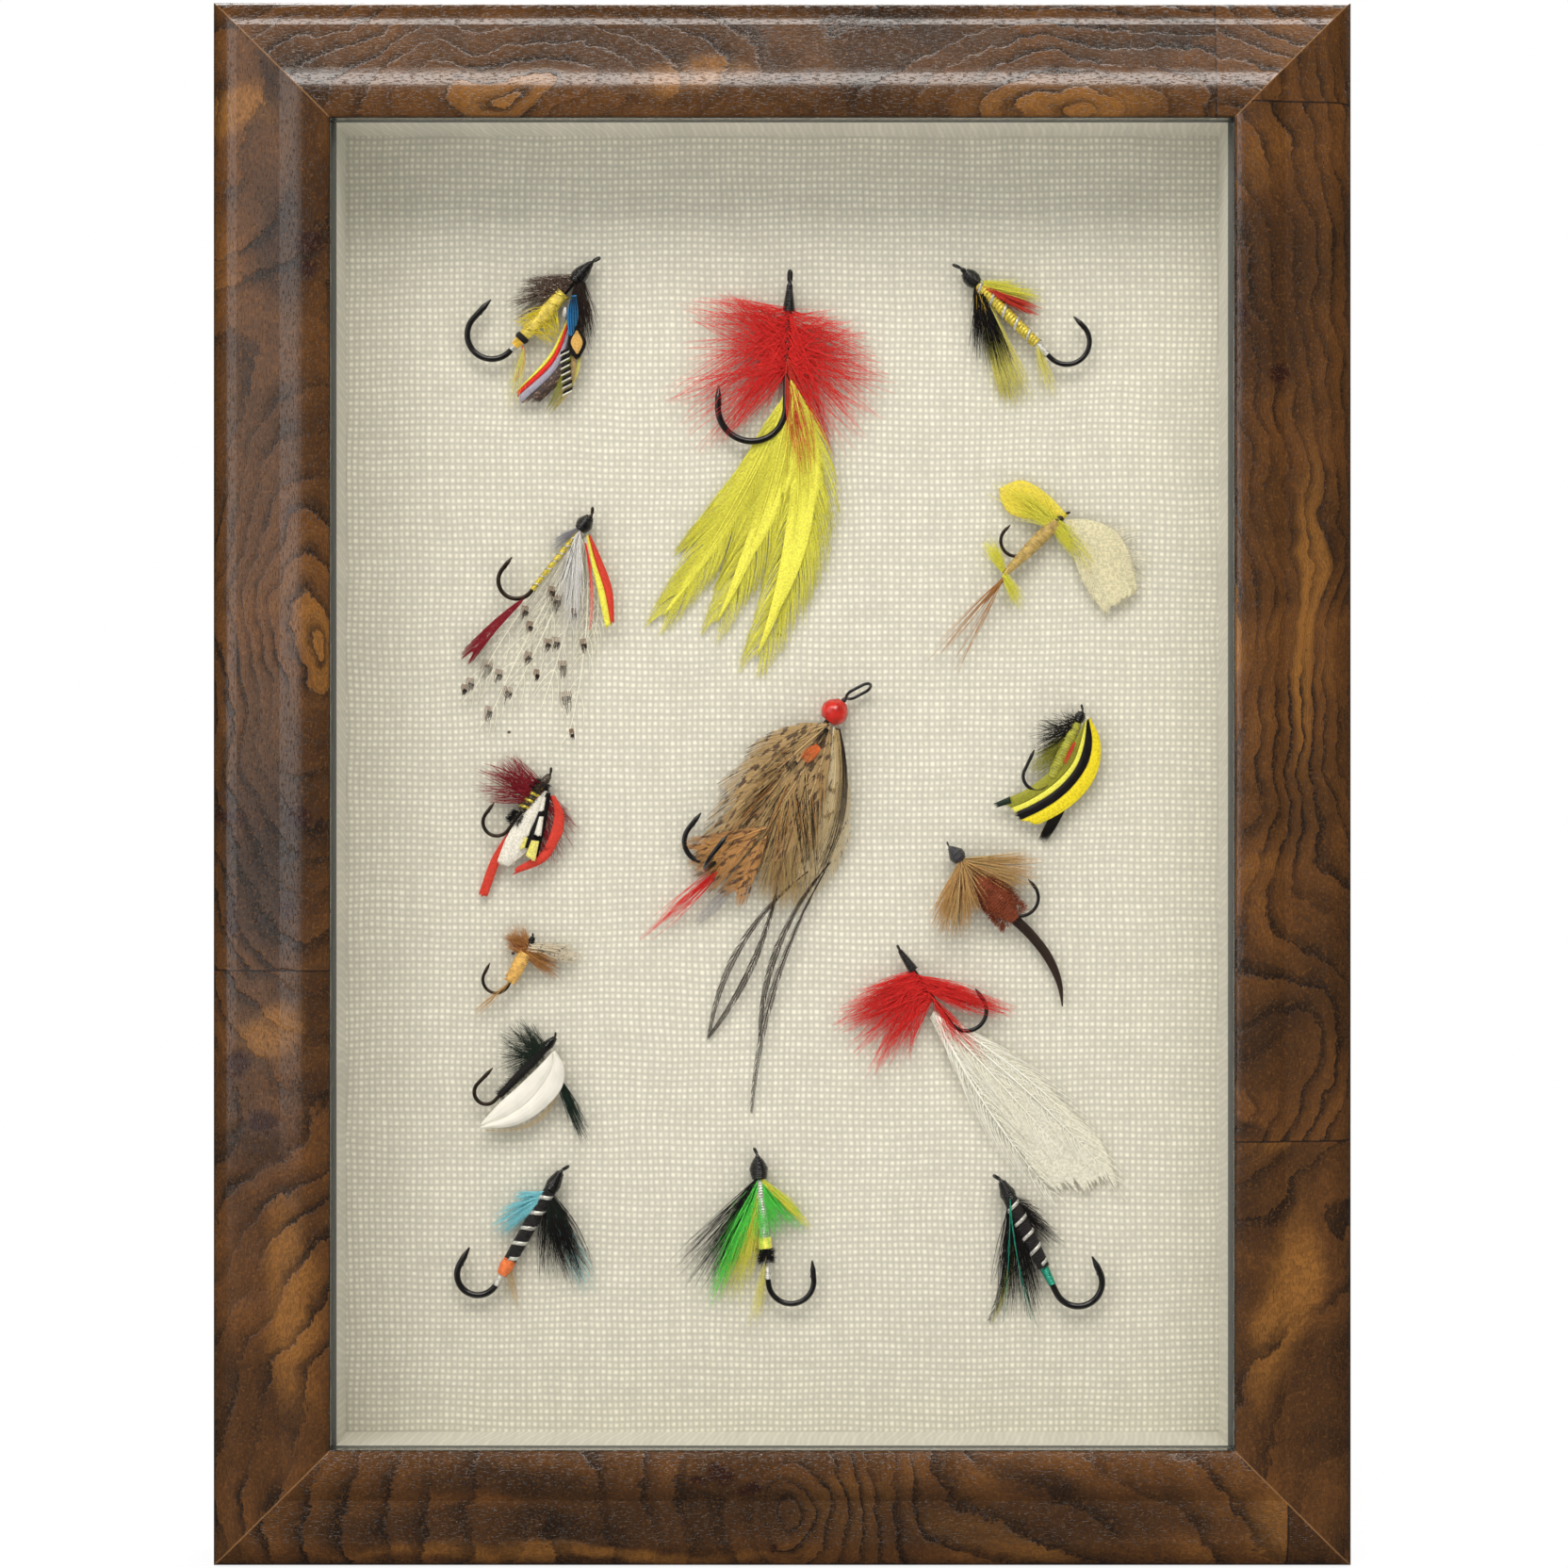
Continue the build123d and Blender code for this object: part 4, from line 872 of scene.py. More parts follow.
    def vane(
        self, left, right, ridges, high=3.4, low=2.2, crown=0.5, relief=0.1, jag=0.6, rows=26,
    ):
        """A slip of feather as one sheet, with its fibres as fine ridges from root to tip."""
        a, b = smooth_line(left, rows), smooth_line(right, rows)
        share = np.linspace(0, 1, 2 * ridges + 1)
        top = np.empty((rows, len(share), 3))
        top[:, :, :2] = a[:, None] * (1 - share[None, :, None]) + b[:, None] * share[None, :, None]
        along = np.linspace(0, 1, rows)[:, None]
        ridge = (np.arange(len(share)) % 2)[None] * relief
        top[:, :, 2] = high + (low - high) * along + crown * (1 - (2 * share[None] - 1) ** 2) + ridge
        top[:, :, 2] += np.repeat(rng.normal(0, 0.03, len(share))[None], rows, axis=0)
        ends = top[-1, :, :2] - top[-3, :, :2]
        ends /= np.linalg.norm(ends, axis=1, keepdims=True) + 1e-9
        reach = rng.uniform(-jag, jag * 0.4, len(share))
        for back, part in ((1, 1.0), (2, 0.6), (3, 0.3)):
            top[-back, :, :2] += ends * (reach * part)[:, None]
        self.shell(top)

    def blade(self, root, tip, width, bow=0.0, ridges=8, high=3.2, low=1.2, widest=0.45, jag=0.5):
        """A whole feather as one lens-shaped sheet."""
        root, tip = np.asarray(root, float), np.asarray(tip, float)
        way = tip - root
        aside = np.array([-way[1], way[0]]) / np.linalg.norm(way)
        spine = curve(root, (root + tip) / 2 + aside * bow * 2, tip, 24)
        share = np.linspace(0, 1, len(spine))
        rise = np.where(share < widest, share / widest, (1 - share) / (1 - widest))
        half = width / 2 * (0.1 + 0.9 * np.sin(rise * math.pi / 2))
        along = np.gradient(spine, axis=0)
        along /= np.linalg.norm(along, axis=1, keepdims=True)
        out = np.stack([-along[:, 1], along[:, 0]], axis=1) * half[:, None]
        self.vane(spine - out, spine + out, ridges, high, low, crown=0.25, relief=0.07, jag=jag)

    def fuzz(self, start, stop, radius, length, count, thick=0.09):
        """Short fibres that stand out round a body."""
        for _ in range(count):
            turn = rng.random() * 2 * math.pi
            out = math.cos(turn) * np.array(self.fly.side) + math.sin(turn) * upward
            base = np.array(self.fly.on(rng.uniform(start, stop))) + out * radius * 0.8
            lean = np.array(self.fly.along) * rng.normal(0.25, 0.4)
            end = base + (out + lean) * length * rng.uniform(0.5, 1.0)
            end[2] = max(end[2], 0.25)
            self.strand(curve(base, (base + end) / 2 + rng.normal(0, 0.12, 3), end, 4), thick)

    def mesh(self):
        points = np.vstack(self.points)
        place = np.empty_like(points)
        place[:, 0] = self.fly.eye[0] + points[:, 0] * mm
        place[:, 1] = linen_face - np.maximum(points[:, 2], linen_clearance) * mm
        place[:, 2] = self.fly.eye[1] + points[:, 1] * mm
        quads = np.vstack(self.quads)
        corners = np.concatenate([quads.ravel(), np.array([i for cap in self.caps for i in cap], int)])
        sizes = np.array([4] * len(quads) + [len(cap) for cap in self.caps])
        mesh = bpy.data.meshes.new(self.name)
        mesh.vertices.add(len(place))
        mesh.vertices.foreach_set("co", place.ravel())
        mesh.loops.add(len(corners))
        mesh.loops.foreach_set("vertex_index", corners)
        mesh.polygons.add(len(sizes))
        mesh.polygons.foreach_set("loop_start", np.concatenate([[0], np.cumsum(sizes)[:-1]]))
        mesh.polygons.foreach_set("loop_total", sizes)
        mesh.update(calc_edges=True)
        mesh.polygons.foreach_set("use_smooth", [True] * len(mesh.polygons))
        mesh.materials.append(self.material)
        made = bpy.data.objects.new(self.name, mesh)
        bpy.context.scene.collection.objects.link(made)
        return made


def smooth_line(points, count):
    """Evenly spaced points on a smooth line through the given ones."""
    points = np.asarray(points, float)
    knots = np.concatenate([[0], np.cumsum(np.linalg.norm(np.diff(points, axis=0), axis=1))])
    slopes = np.gradient(points, knots, axis=0)
    places = np.linspace(0, knots[-1], count)
    near = np.clip(np.searchsorted(knots, places, side="right") - 1, 0, len(knots) - 2)
    gap = (knots[near + 1] - knots[near])[:, None]
    t = ((places - knots[near]) / gap[:, 0])[:, None]
    start, stop = points[near], points[near + 1]
    lead, trail = slopes[near] * gap, slopes[near + 1] * gap
    cubic, square = t**3, t**2
    return (
        (2 * cubic - 3 * square + 1) * start
        + (cubic - 2 * square + t) * lead
        + (3 * square - 2 * cubic) * stop
        + (cubic - square) * trail
    )


def curve(a, b, c, count):
    """Points on the curve from a to c that is drawn towards b."""
    share = np.linspace(0, 1, count)[:, None]
    return (1 - share) ** 2 * a + 2 * share * (1 - share) * b + share**2 * c


class Fly:
    """A dressed hook on the linen, placed by its eye and its shank's end."""

    def __init__(self, name, across, up, end):
        self.name = name
        self.eye = (
            sight_left + across * (sight_right - sight_left),
            sight_bottom + up * (sight_top - sight_bottom),
        )
        length = math.hypot(*end)
        self.along = (end[0] / length, end[1] / length, 0.0)
        self.side = (-self.along[1], self.along[0], 0.0)
        self.pieces = []

    def on(self, distance, height=shank_height):
        """A point on the shank."""
        x, z, _ = self.along
        return (x * distance, z * distance, height)

    def root(self, roots):
        """A fibre's root: on the shank between two distances, or anywhere between two points."""
        if isinstance(roots[0], tuple):
            start, stop = roots
            spot = np.asarray(start, float) + (np.asarray(stop, float) - start) * rng.random()
            return np.array([*spot, shank_height + rng.uniform(-0.4, 0.8)])
        return np.array(self.on(rng.uniform(*roots), shank_height + rng.uniform(-0.8, 1.0)))

    def piece(self, part, look):
        """One more piece, in a material or in fibre of the dye that is named."""
        material = fibre(look) if isinstance(look, str) else look
        self.pieces.append(Tuft(self, f"{self.name}_{part}", material))
        return self.pieces[-1]

    def finish(self):
        for tuft in self.pieces:
            made = tuft.mesh()
            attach(made, "root")
            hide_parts(f"{self.name}_dressing")


def black_head(fly, start, stop, radii):
    fly.piece("head", lacquer("black_head_lacquer", (16, 15, 17))).wound(start, stop, radii, 0.5)


def barred_salmon_fly(fly):
    black_head(fly, 2.9, 8.4, [0.8, 1.3, 1.8, 1.9, 1.4])
    fly.piece("body", thread("maize")).wound(12, 25.6, [1.6, 1.7, 1.3], 0.5)
    fly.piece("body_rib", gilt()).rib(12, 25.4, [1.75, 1.4], 5, 0.6)
    fly.piece("butt", thread("black", 0.8)).wound(25.2, 26.6, [1.5, 1.7, 1.4], 0.3)
    fly.piece("tag", thread("gold_yellow")).wound(26.6, 28.4, [1.15, 0.95], 0.3)
    fly.piece("silver_tip", silver()).wound(28.4, 29.6, [0.9, 0.8], 0.3)
    guinea = speckled("speckled_guinea", (86, 62, 46), (230, 222, 206), 0.5, 0.60)
    tips = [
        (-16, -19.5), (-20.9, -14.8), (-21.2, -11.6), (-19.6, -8.3), (-17.8, -6), (-15.3, -5.2),
        (-9.9, -4.2),
    ]
    fly.piece("throat_hackle", guinea).spray(
        (6, 13), tips, 120, thick=0.2, high=4.6, locks=13, bow=0.05, stray=0.4
    )
    fly.piece("throat_hackle_under", "dark_brown").spray(
        (6, 12), tips, 60, thick=0.15, high=3, locks=9, stray=0.4, bow=0.05
    )
    fly.piece("body_hackle", "golden_yellow").spray(
        (14, 24), [(-20, -15.6), (-16, -13), (-12, -14), (-8.6, -17.6), (-10, -21)], 130, thick=0.16,
        high=5.8, locks=12, stray=0.5,
    )
    barred = speckled("barred_mottle", (60, 44, 36), (150, 118, 92), 0.5, 0.56)
    edges = [
        [(-7.2, -14.6), (-11, -22.4), (-18.4, -30.6)], [(-6.9, -15), (-10.4, -22.9), (-18.8, -31.4)],
        [(-6.5, -15.4), (-9.7, -23.6), (-18.6, -32.4)], [(-6, -15.8), (-8.7, -24.6), (-17.6, -33.8)],
        [(-5, -16.6), (-6.4, -26), (-13.4, -33.6)],
    ]
    strips = (("yellow", "yellow", 2), ("red", "red", 3), ("grey", "lilac_grey", 5))
    for step, (part, dye, ridges) in enumerate(strips):
        strip = fly.piece(f"wing_{part}_strip", dye)
        strip.vane(edges[step], edges[step + 1], ridges, high=3.6, low=2.6)
    fly.piece("wing_brown_strip", barred).vane(edges[3], edges[4], 8, high=3.5, low=2.4, jag=1.6)
    wing = fly.piece("wing_black_bars", "black")
    pale = fly.piece("wing_white_bars", "cream")
    for step in range(7):
        top = -22.2 - 1.5 * step
        x = -8.6 + 0.1 * step
        above = [(x, top), (x + 2.2, top + 1.1)]
        between = [(x - 0.2, top - 0.8), (x + 2, top + 0.3)]
        below = [(x - 0.3, top - 1.3), (x + 1.9, top - 0.2)]
        wing.vane(above, between, 3, high=4.2, low=4.2, rows=6, jag=0.2)
        pale.vane(between, below, 2, high=4.1, low=4.1, rows=6, jag=0.2)
    fly.piece("wing_olive_strands", "olive").slip(
        (-6.6, -23), (-11.6, -36.6), 2.6, bow=0.8, count=14, low=2, high=3.8, thick=0.18, ragged=0.2
    )
    fly.piece("wing_tan_strands", "straw").slip(
        (-5.6, -23.4), (-11.4, -36.2), 2, bow=1.4, count=9, low=2.2, high=3.9, thick=0.16, ragged=0.2
    )
    fly.piece("wing_pale_edge", "pale_yellow").slip(
        (-4.2, -22), (-10, -34.4), 0.9, bow=1.4, count=6, high=3.6
    )
    fly.piece("wing_cover", "dark_brown").spray(
        (5.5, 8), [(-8.5, -20), (-6.6, -23.6), (-4.6, -24), (-2.4, -22), (-0.6, -16.5)], 170, thick=0.17,
        high=4.8, reach=(0.6, 1), bow=0.04, locks=9,
    )
    fly.piece("white_cheek_fleck", "white").slip(
        (-7.6, -12.2), (-7.9, -14.4), 0.7, count=5, low=4.9, high=5
    )
    fly.piece("blue_cheek", "kingfisher_blue").vane(
        [(-6.2, -9.6), (-7.2, -14), (-6.8, -18.6)], [(-5, -9.4), (-4.6, -14), (-5.8, -19)], 6, high=5,
        low=4.9, crown=0.3,
    )
    fly.piece("blue_cheek_dark_strips", "black").slip(
        (-5.6, -9.8), (-5.4, -18.4), 2.6, count=5, low=5.6, high=5.7, thick=0.24
    )
    fly.piece("amber_eye_surround", "black").vane(
        [(-5.4, -16.4), (-7, -20.4), (-5.2, -24.2)], [(-4.6, -16.4), (-2.8, -20.4), (-4.6, -24.2)], 8,
        high=4.9, low=4.6, crown=0.3,
    )
    fly.piece("amber_eye_feather", "amber").vane(
        [(-5.1, -17.6), (-6.3, -20.2), (-5, -22.9)], [(-4.7, -17.6), (-3.6, -20.2), (-4.6, -22.9)], 7,
        high=5.4, low=5.1, crown=0.3, jag=0.2,
    )
    fly.piece("tail_crest", "orange").slip((-17.4, -20.8), (-19.4, -28.8), 0.9, bow=1, count=5)
    fly.piece("crest_tip", "pale_yellow").spray(
        ((-17.2, -21), (-17, -22)), [(-21.4, -32), (-20.5, -37.1), (-18, -34)], 40, thick=0.07
    )


def red_and_yellow_streamer(fly):
    black_head(fly, 3.4, 9.6, [0.6, 0.9, 1.2, 1.5])
    left = [(-8, -6), (-16.5, -6.6), (-25.5, -7.6), (-22, -14), (-26, -22), (-29, -29.8)]
    left += [(-26, -31), (-21.5, -42), (-12, -38), (-4, -34)]
    right = [
        (6, -9.5), (10, -9), (17, -14), (20.5, -20), (23.1, -27.3), (19.9, -34.8), (13.8, -43.2), (3, -40)
    ]
    fly.piece("red_hackle_left", "red").spray(
        (9, 24), left, 430, thick=0.16, reach=(0.6, 1.04), locks=22, stray=0.6, bow=0.05
    )
    fly.piece("red_hackle_right", "red").spray(
        (9, 24), right, 340, thick=0.16, reach=(0.6, 1.04), locks=18, stray=0.6, bow=0.05
    )
    yellow = fly.piece("yellow_feathers", "yellow")
    barbs = fly.piece("yellow_barbs", "yellow")
    feathers = (
        ((-29.2, -79.4), 8, 2), ((-26.6, -75), 7, 3), ((-20, -62), 10, 2.6), ((-16.8, -80.7), 8, 2.6),
        ((-12, -70), 10, 3.4), ((-7.7, -88.5), 9.5, 5), ((-3.2, -79), 8.5, 5.4), ((0.6, -64), 8, 5),
        ((-2, -52), 9, 3),
    )
    for step, (tip, width, bow) in enumerate(feathers):
        lift = 2.4 + 0.2 * step
        yellow.blade(
            (0.2, -25.5), tip, width * 0.42, bow=bow, ridges=7, high=lift, low=lift - 1.4, widest=0.5,
            jag=1.2,
        )
        barbs.feather(
            (0.2, -25.5), tip, width * 1.3, bow=bow, barbs=110, sweep=18, high=lift + 0.3, thick=0.19,
            widest=0.45, gaps=0.15,
        )
    fly.piece("orange_strands", "scarlet").spray(
        (20, 25), [(0, -46), (4.4, -52), (6.4, -44)], 34, thick=0.15, high=6.4, low=4
    )


def gilt_hair_fly(fly):
    black_head(fly, 3.4, 7.6, [1.1, 1.9, 1.95, 1.3])
    fly.piece("gold_body", gilt()).wound(7.4, 26.6, [1.3, 1.35, 1.2], 0.8)
    fly.piece("silver_rib", silver()).rib(7.4, 26.8, [1.5, 1.4], 5, 0.6, gauge=0.25)
    fly.piece("silver_tag", silver()).wound(26.6, 30.2, [1, 0.8], 0.4)
    fly.piece("wing_yellow_hair", "pale_yellow").spray(
        (6.4, 9), [(10.6, -30), (13.4, -33.6), (18, -30)], 190, thick=0.17, reach=(0.84, 1.02), high=2.2,
        bow=0.03,
    )
    fly.piece("wing_black_hair", "black").spray(
        (6.4, 9), [(3.6, -19), (5.6, -23.5), (8, -24), (11.6, -26), (13, -23)], 230, thick=0.16, low=2.4,
        high=4.6, bow=0.03, reach=(0.6, 1.04), locks=9, stray=0.5,
    )
    fly.piece("wing_gold_base", "gold_yellow").spray(
        (6.4, 8), [(5.2, -11), (7.4, -12), (9, -11)], 40, thick=0.14, high=4.6
    )
    fly.piece("throat_yellow", "yellow").spray(
        (6.4, 9), [(14, -4.2), (19.6, -7.6), (20.4, -9.6)], 130, thick=0.16, bow=0.02, stray=0.5
    )
    fly.piece("throat_red", "scarlet").spray(
        (6.8, 9.6), [(19.6, -10), (19.4, -12.6), (16.4, -12)], 130, thick=0.16, bow=0.02, stray=0.4,
        high=5,
    )
    fly.piece("tail_yellow", "pale_yellow").spray(
        (26, 27.6), [(20.2, -29), (22.4, -32), (23.6, -29.4)], 60, thick=0.09, bow=0.04
    )


def fan_wing_fly(fly):
    black_head(fly, 2.4, 6.4, [0.9, 1.5, 2, 1.8, 1.3])
    fly.piece("body", gilt()).wound(6, 23.8, [0.75, 0.7, 0.6], 0.5)
    fly.piece("body_rib", silver()).rib(6, 23.8, [0.85, 0.7], 8, 0.3)
    fly.piece("fan_white_down", "ivory").spray(
        (6, 8), [(-28.6, -41), (-25, -46), (-16, -44), (-7, -50), (-3, -40), (-1.4, -28)], 60, thick=0.13,
        reach=(0.35, 1), bow=0.03, high=2.6, low=0.6, stray=1.6,
    )
    white = fly.piece("fan_white_feathers", white_down("fan_fibre", (250, 246, 226)))
    for tip, width, bow in (
        ((-29, -43), 8, -2), ((-25, -48.6), 8, -1), ((-20, -44), 8, 0.5), ((-13, -46), 8, 1),
        ((-6.8, -52.5), 7, 2), ((-4, -36), 7, 2), ((-1, -30), 5.5, 2), ((-16, -32), 9, 0),
    ):
        white.feather(
            (-2.6, -6.4), tip, width, bow=bow, barbs=13, sweep=20, thick=0.16, gaps=0.4, widest=0.6,
            high=2.2, low=0.6,
        )
    bars = fly.piece("fan_dark_bars", "dark_brown")
    brown = fly.piece("fan_brown_bars", "brown")
    for x, z, reach, lean in (
        (-9, -21, 3.4, -100), (-10, -19, 2.6, -110), (-16, -23.5, 2.4, -120), (-15, -27, 2.2, -110),
        (-9, -30.6, 3, -105), (-10.8, -31, 2.4, -120), (-15.2, -34, 2.6, -125), (-24.4, -36, 4, -125),
        (-22, -38, 2.6, -115), (-28.6, -40, 2.8, -110), (-30, -41.4, 2, -115), (-20, -42, 3.4, -112),
        (-24.4, -46.4, 2.6, -105), (-7.6, -36, 3, -92), (-7, -43, 4.4, -85), (-5.6, -51.6, 1.6, -85),
        (-3, -31, 2.4, -85), (-13.4, -38, 2, -115), (-5, -24, 2, -95),
    ):
        turn = math.radians(lean)
        stop = (x + math.cos(turn) * reach, z + math.sin(turn) * reach)
        bars.slip(
            (x, z), stop, reach * 0.42, count=6, low=3.2, high=3.8, thick=0.21, narrow=0.9, ragged=0.7
        )
        brown.slip(
            (x - 0.3, z + 1.2), stop, reach * 0.6, count=7, low=3, high=3.5, thick=0.15, narrow=0.9,
            ragged=0.8,
        )
    fly.piece("white_hackle", "white").spray(
        (5.6, 8), [(-11, -20), (-8, -27), (-4.4, -30), (-2, -25)], 70, thick=0.2, high=5, low=2, locks=9,
        bow=0.04,
    )
    fly.piece("black_hackle", "black").spray((6, 8), [(-9, -17.5), (-6.4, -19), (-4, -18)], 36, thick=0.1)
    fly.piece("grey_throat", "ash_grey").spray(
        (5, 6.6), [(-8, -6), (-11.4, -8.6), (-9.8, -10.8)], 110, thick=0.08, stray=0.5
    )
    inner = [(-2.4, -6.2), (-1.4, -12), (0.2, -19), (2, -27.6)]
    shared = [(-1.9, -6.2), (-0.4, -12), (1.8, -19), (3.2, -26.6)]
    outer = [(-1.4, -6.2), (0.8, -11), (3.6, -19), (4, -26.4)]
    fly.piece("yellow_strip", "yellow").vane(inner, shared, 5, high=4.4, low=4)
    fly.piece("red_strip", "scarlet").vane(shared, outer, 5, high=4.3, low=3.9)
    fly.piece("red_strand", "red").slip((-2.6, -8), (-1.6, -28), 0.6, bow=0.9, count=4, low=3.4, high=4.4)
    fly.piece("crimson_tail", "crimson").feather(
        (-15.6, -19.8), (-28.6, -32.9), 3.4, bow=-0.5, barbs=80, sweep=14, widest=0.7, thick=0.16, low=2.4
    )


def yellow_mayfly(fly):
    fly.piece("head", thread("dark_brown", 0.5)).wound(1.6, 3.8, [0.6, 0.9, 1], 0.4)
    fly.piece("tan_body", thread("buff")).wound(4, 21, [1.3, 1.6, 1.5, 1.1, 0.7], 0.5)
    fly.piece("body_rib", thread("straw")).rib(5, 20.6, [1.45, 1.72, 1.6, 1.2, 0.8], 9, 0.2)
    fly.piece("upper_hackle", "yellow").spray(
        (3, 6), [(-3.4, 2.2), (-8, 5.6), (-13, 6.6), (-17.6, 6.4), (-16.6, 2.6), (-12.2, -1.4)], 170,
        thick=0.15, reach=(0.5, 1.02),
    )
    under = fly.piece("hackle_webs", web("yellow_web", (252, 234, 70)))
    under.blade((-0.6, -1.6), (-16, 4.6), 8.4, ridges=10, high=3.6, low=1.6, widest=0.7, jag=1.6)
    under.blade((0.2, -2.6), (5.8, -13.6), 5, ridges=8, high=3.6, low=1.6, widest=0.6, jag=1.4)
    fly.piece("lower_hackle", "yellow").spray(
        (3, 6), [(3, -4.4), (5.6, -9), (6.8, -14.7), (4, -13.6), (0, -9)], 200, thick=0.12,
        reach=(0.5, 1.02),
    )
    fly.piece("fan_wing_web", web("wing_web", (250, 244, 206))).vane(
        [(-1, -2.2), (5, -2.4), (10.4, -4.6), (14, -10), (15.8, -18.6)],
        [(-1.4, -3), (0.6, -9), (3, -16), (6, -20.6), (8.4, -23.8)], 16, high=3.2, low=1.8, crown=0.8,
        jag=0.8,
    )
    wing = fly.piece("fan_wing", "pale_cream")
    for tip, width in (
        ((13.4, -7.6), 9), ((14.8, -13), 9), ((15, -18.4), 9), ((9.6, -22.4), 8), ((7.6, -7), 8)
    ):
        wing.feather(
            (-1, -3), tip, width, barbs=30, sweep=34, thick=0.13, widest=0.75, low=2.4, high=3.4, gaps=0.3
        )
    fly.piece("end_tuft", "yellow").spray(
        ((-14.6, -13.4), (-15.4, -14.6)), [(-19.6, -9), (-18.6, -6.4), (-16, -9)], 150, thick=0.1
    )
    fly.piece("end_tuft_low", "yellow").spray(
        ((-14.6, -14), (-15.4, -15.2)), [(-12.6, -22), (-10.6, -23), (-10.4, -20)], 110, thick=0.09
    )
    tails = fly.piece("tail_fibres", "ginger")
    tails.spray(
        ((-14.8, -15.4), (-15.2, -15.8)), [(-33.1, -36.5), (-29.2, -33), (-30, -29.6)], 12, thick=0.2,
        bow=0.04, reach=(0.9, 1),
    )
    tails.spray(
        ((-14.8, -15.4), (-15.2, -15.8)), [(-26.6, -38.7), (-27, -36)], 5, thick=0.2, bow=0.04,
        reach=(0.9, 1),
    )
    fly.piece("tail_root", "rust").slip(
        (-14.2, -14.8), (-19.6, -21.4), 1, count=7, low=1.6, high=3, thick=0.2
    )


def crimson_hackle_fly(fly):
    fly.piece("head", lacquer("brown_head_lacquer", (92, 78, 66))).wound(2, 4.6, [0.7, 1, 0.9], 0.5)
    fly.piece("collar", "black").fuzz(3.8, 7, 1, 2.2, 220, thick=0.14)
    body = fly.piece("body", speckled("peacock_herl", (34, 36, 28), (150, 110, 30), 0.6, 0.55))
    body.wound(5, 12.4, [1.2, 1.2], 0.5)
    body.fuzz(6, 12.4, 1.2, 1.4, 260, thick=0.13)
    fly.piece("gold_segment", gilt()).rib(7, 12.4, [1.3, 1.3], 3, 0.7)
    fly.piece("butt", "black").fuzz(12.8, 15.8, 1.3, 1.5, 420, thick=0.15)
    fly.piece("hackle_left", "crimson").spray(
        (4, 10),
        [(-8, 3.6), (-13.2, 2.8), (-12, 0.6), (-17.6, 0.8), (-18.6, -4.9), (-16.2, -7), (-13, -8.6)], 140,
        thick=0.2, bow=0.08, reach=(0.75, 1.02), locks=12, stray=0.5,
    )
    fly.piece("hackle_right", "crimson").spray(
        (5, 11), [(3, -9.4), (5, -13.4), (5.2, -17.6), (2.4, -20), (-0.4, -21.9), (-3.6, -23.6)], 110,
        thick=0.19, bow=0.08, reach=(0.8, 1.02), locks=9, stray=0.5,
    )
    fly.piece("white_wing", "ivory").vane(
        [(-2.2, -5), (-6.4, -9.2), (-10.6, -15), (-13.2, -21.4)],
        [(-1.4, -5.4), (-3, -12.4), (-6, -18.6), (-10.8, -22.6)], 14, high=3.8, low=3.4, crown=1,
    )
    fly.piece("barred_feather", "black").vane(
        [(-1.8, -5.4), (-4.4, -11), (-7.4, -17.6)], [(-0.8, -5.6), (-1.8, -12), (-3.8, -20.6)], 10,
        high=4.6, low=4.2, crown=0.5,
    )
    spots = fly.piece("barred_feather_white_spots", "cream")
    amber = fly.piece("barred_feather_amber_spots", "pale_yellow")
    for piece, left, right, ridges, high, low, jag in (
        (spots, [(-2.7, -6.6), (-3.6, -9.8)], [(-1.9, -6.6), (-2.4, -9.8)], 3, 5.2, 5.2, 0.2),
        (spots, [(-3.4, -11), (-4.6, -15.2)], [(-2.4, -11), (-3, -15.6)], 4, 5.2, 5.2, 0.2),
        (spots, [(-5.2, -12), (-6.6, -15.4)], [(-4.8, -11.8), (-5.8, -15.4)], 2, 5.1, 5, 0.2),
        (amber, [(-5.2, -16.4), (-6.6, -20)], [(-3.4, -16.6), (-4.4, -21.4)], 6, 5.2, 5, 0.3),
        (amber, [(-6.8, -15.8), (-8, -18.4)], [(-6, -15.8), (-6.8, -18.4)], 3, 4.9, 4.8, 0.2),
    ):
        piece.vane(left, right, ridges, high=high, low=low, rows=8, jag=jag)
    scarlet = fly.piece("red_strip", "scarlet")
    scarlet.vane(
        [(-0.8, -6.2), (0, -10.6), (-0.8, -14.4), (-2.4, -18.4)],
        [(0.2, -6.2), (2.2, -10.6), (1.8, -15), (-0.6, -18.8)], 7, high=4.4, low=4.2,
    )
    scarlet.vane(
        [(0.2, -15.6), (-3.4, -19.4), (-9, -22.8)], [(1.6, -15.2), (-1.4, -20.6), (-9.6, -24.4)], 6,
        high=4.2, low=3.6,
    )
    fly.piece("orange_tail", "scarlet").vane(
        [(-10.6, -14.4), (-14.2, -20), (-17.6, -29)], [(-9.6, -15.4), (-12.2, -20.6), (-15.6, -29.6)], 7,
        high=2.6, low=1.4,
    )


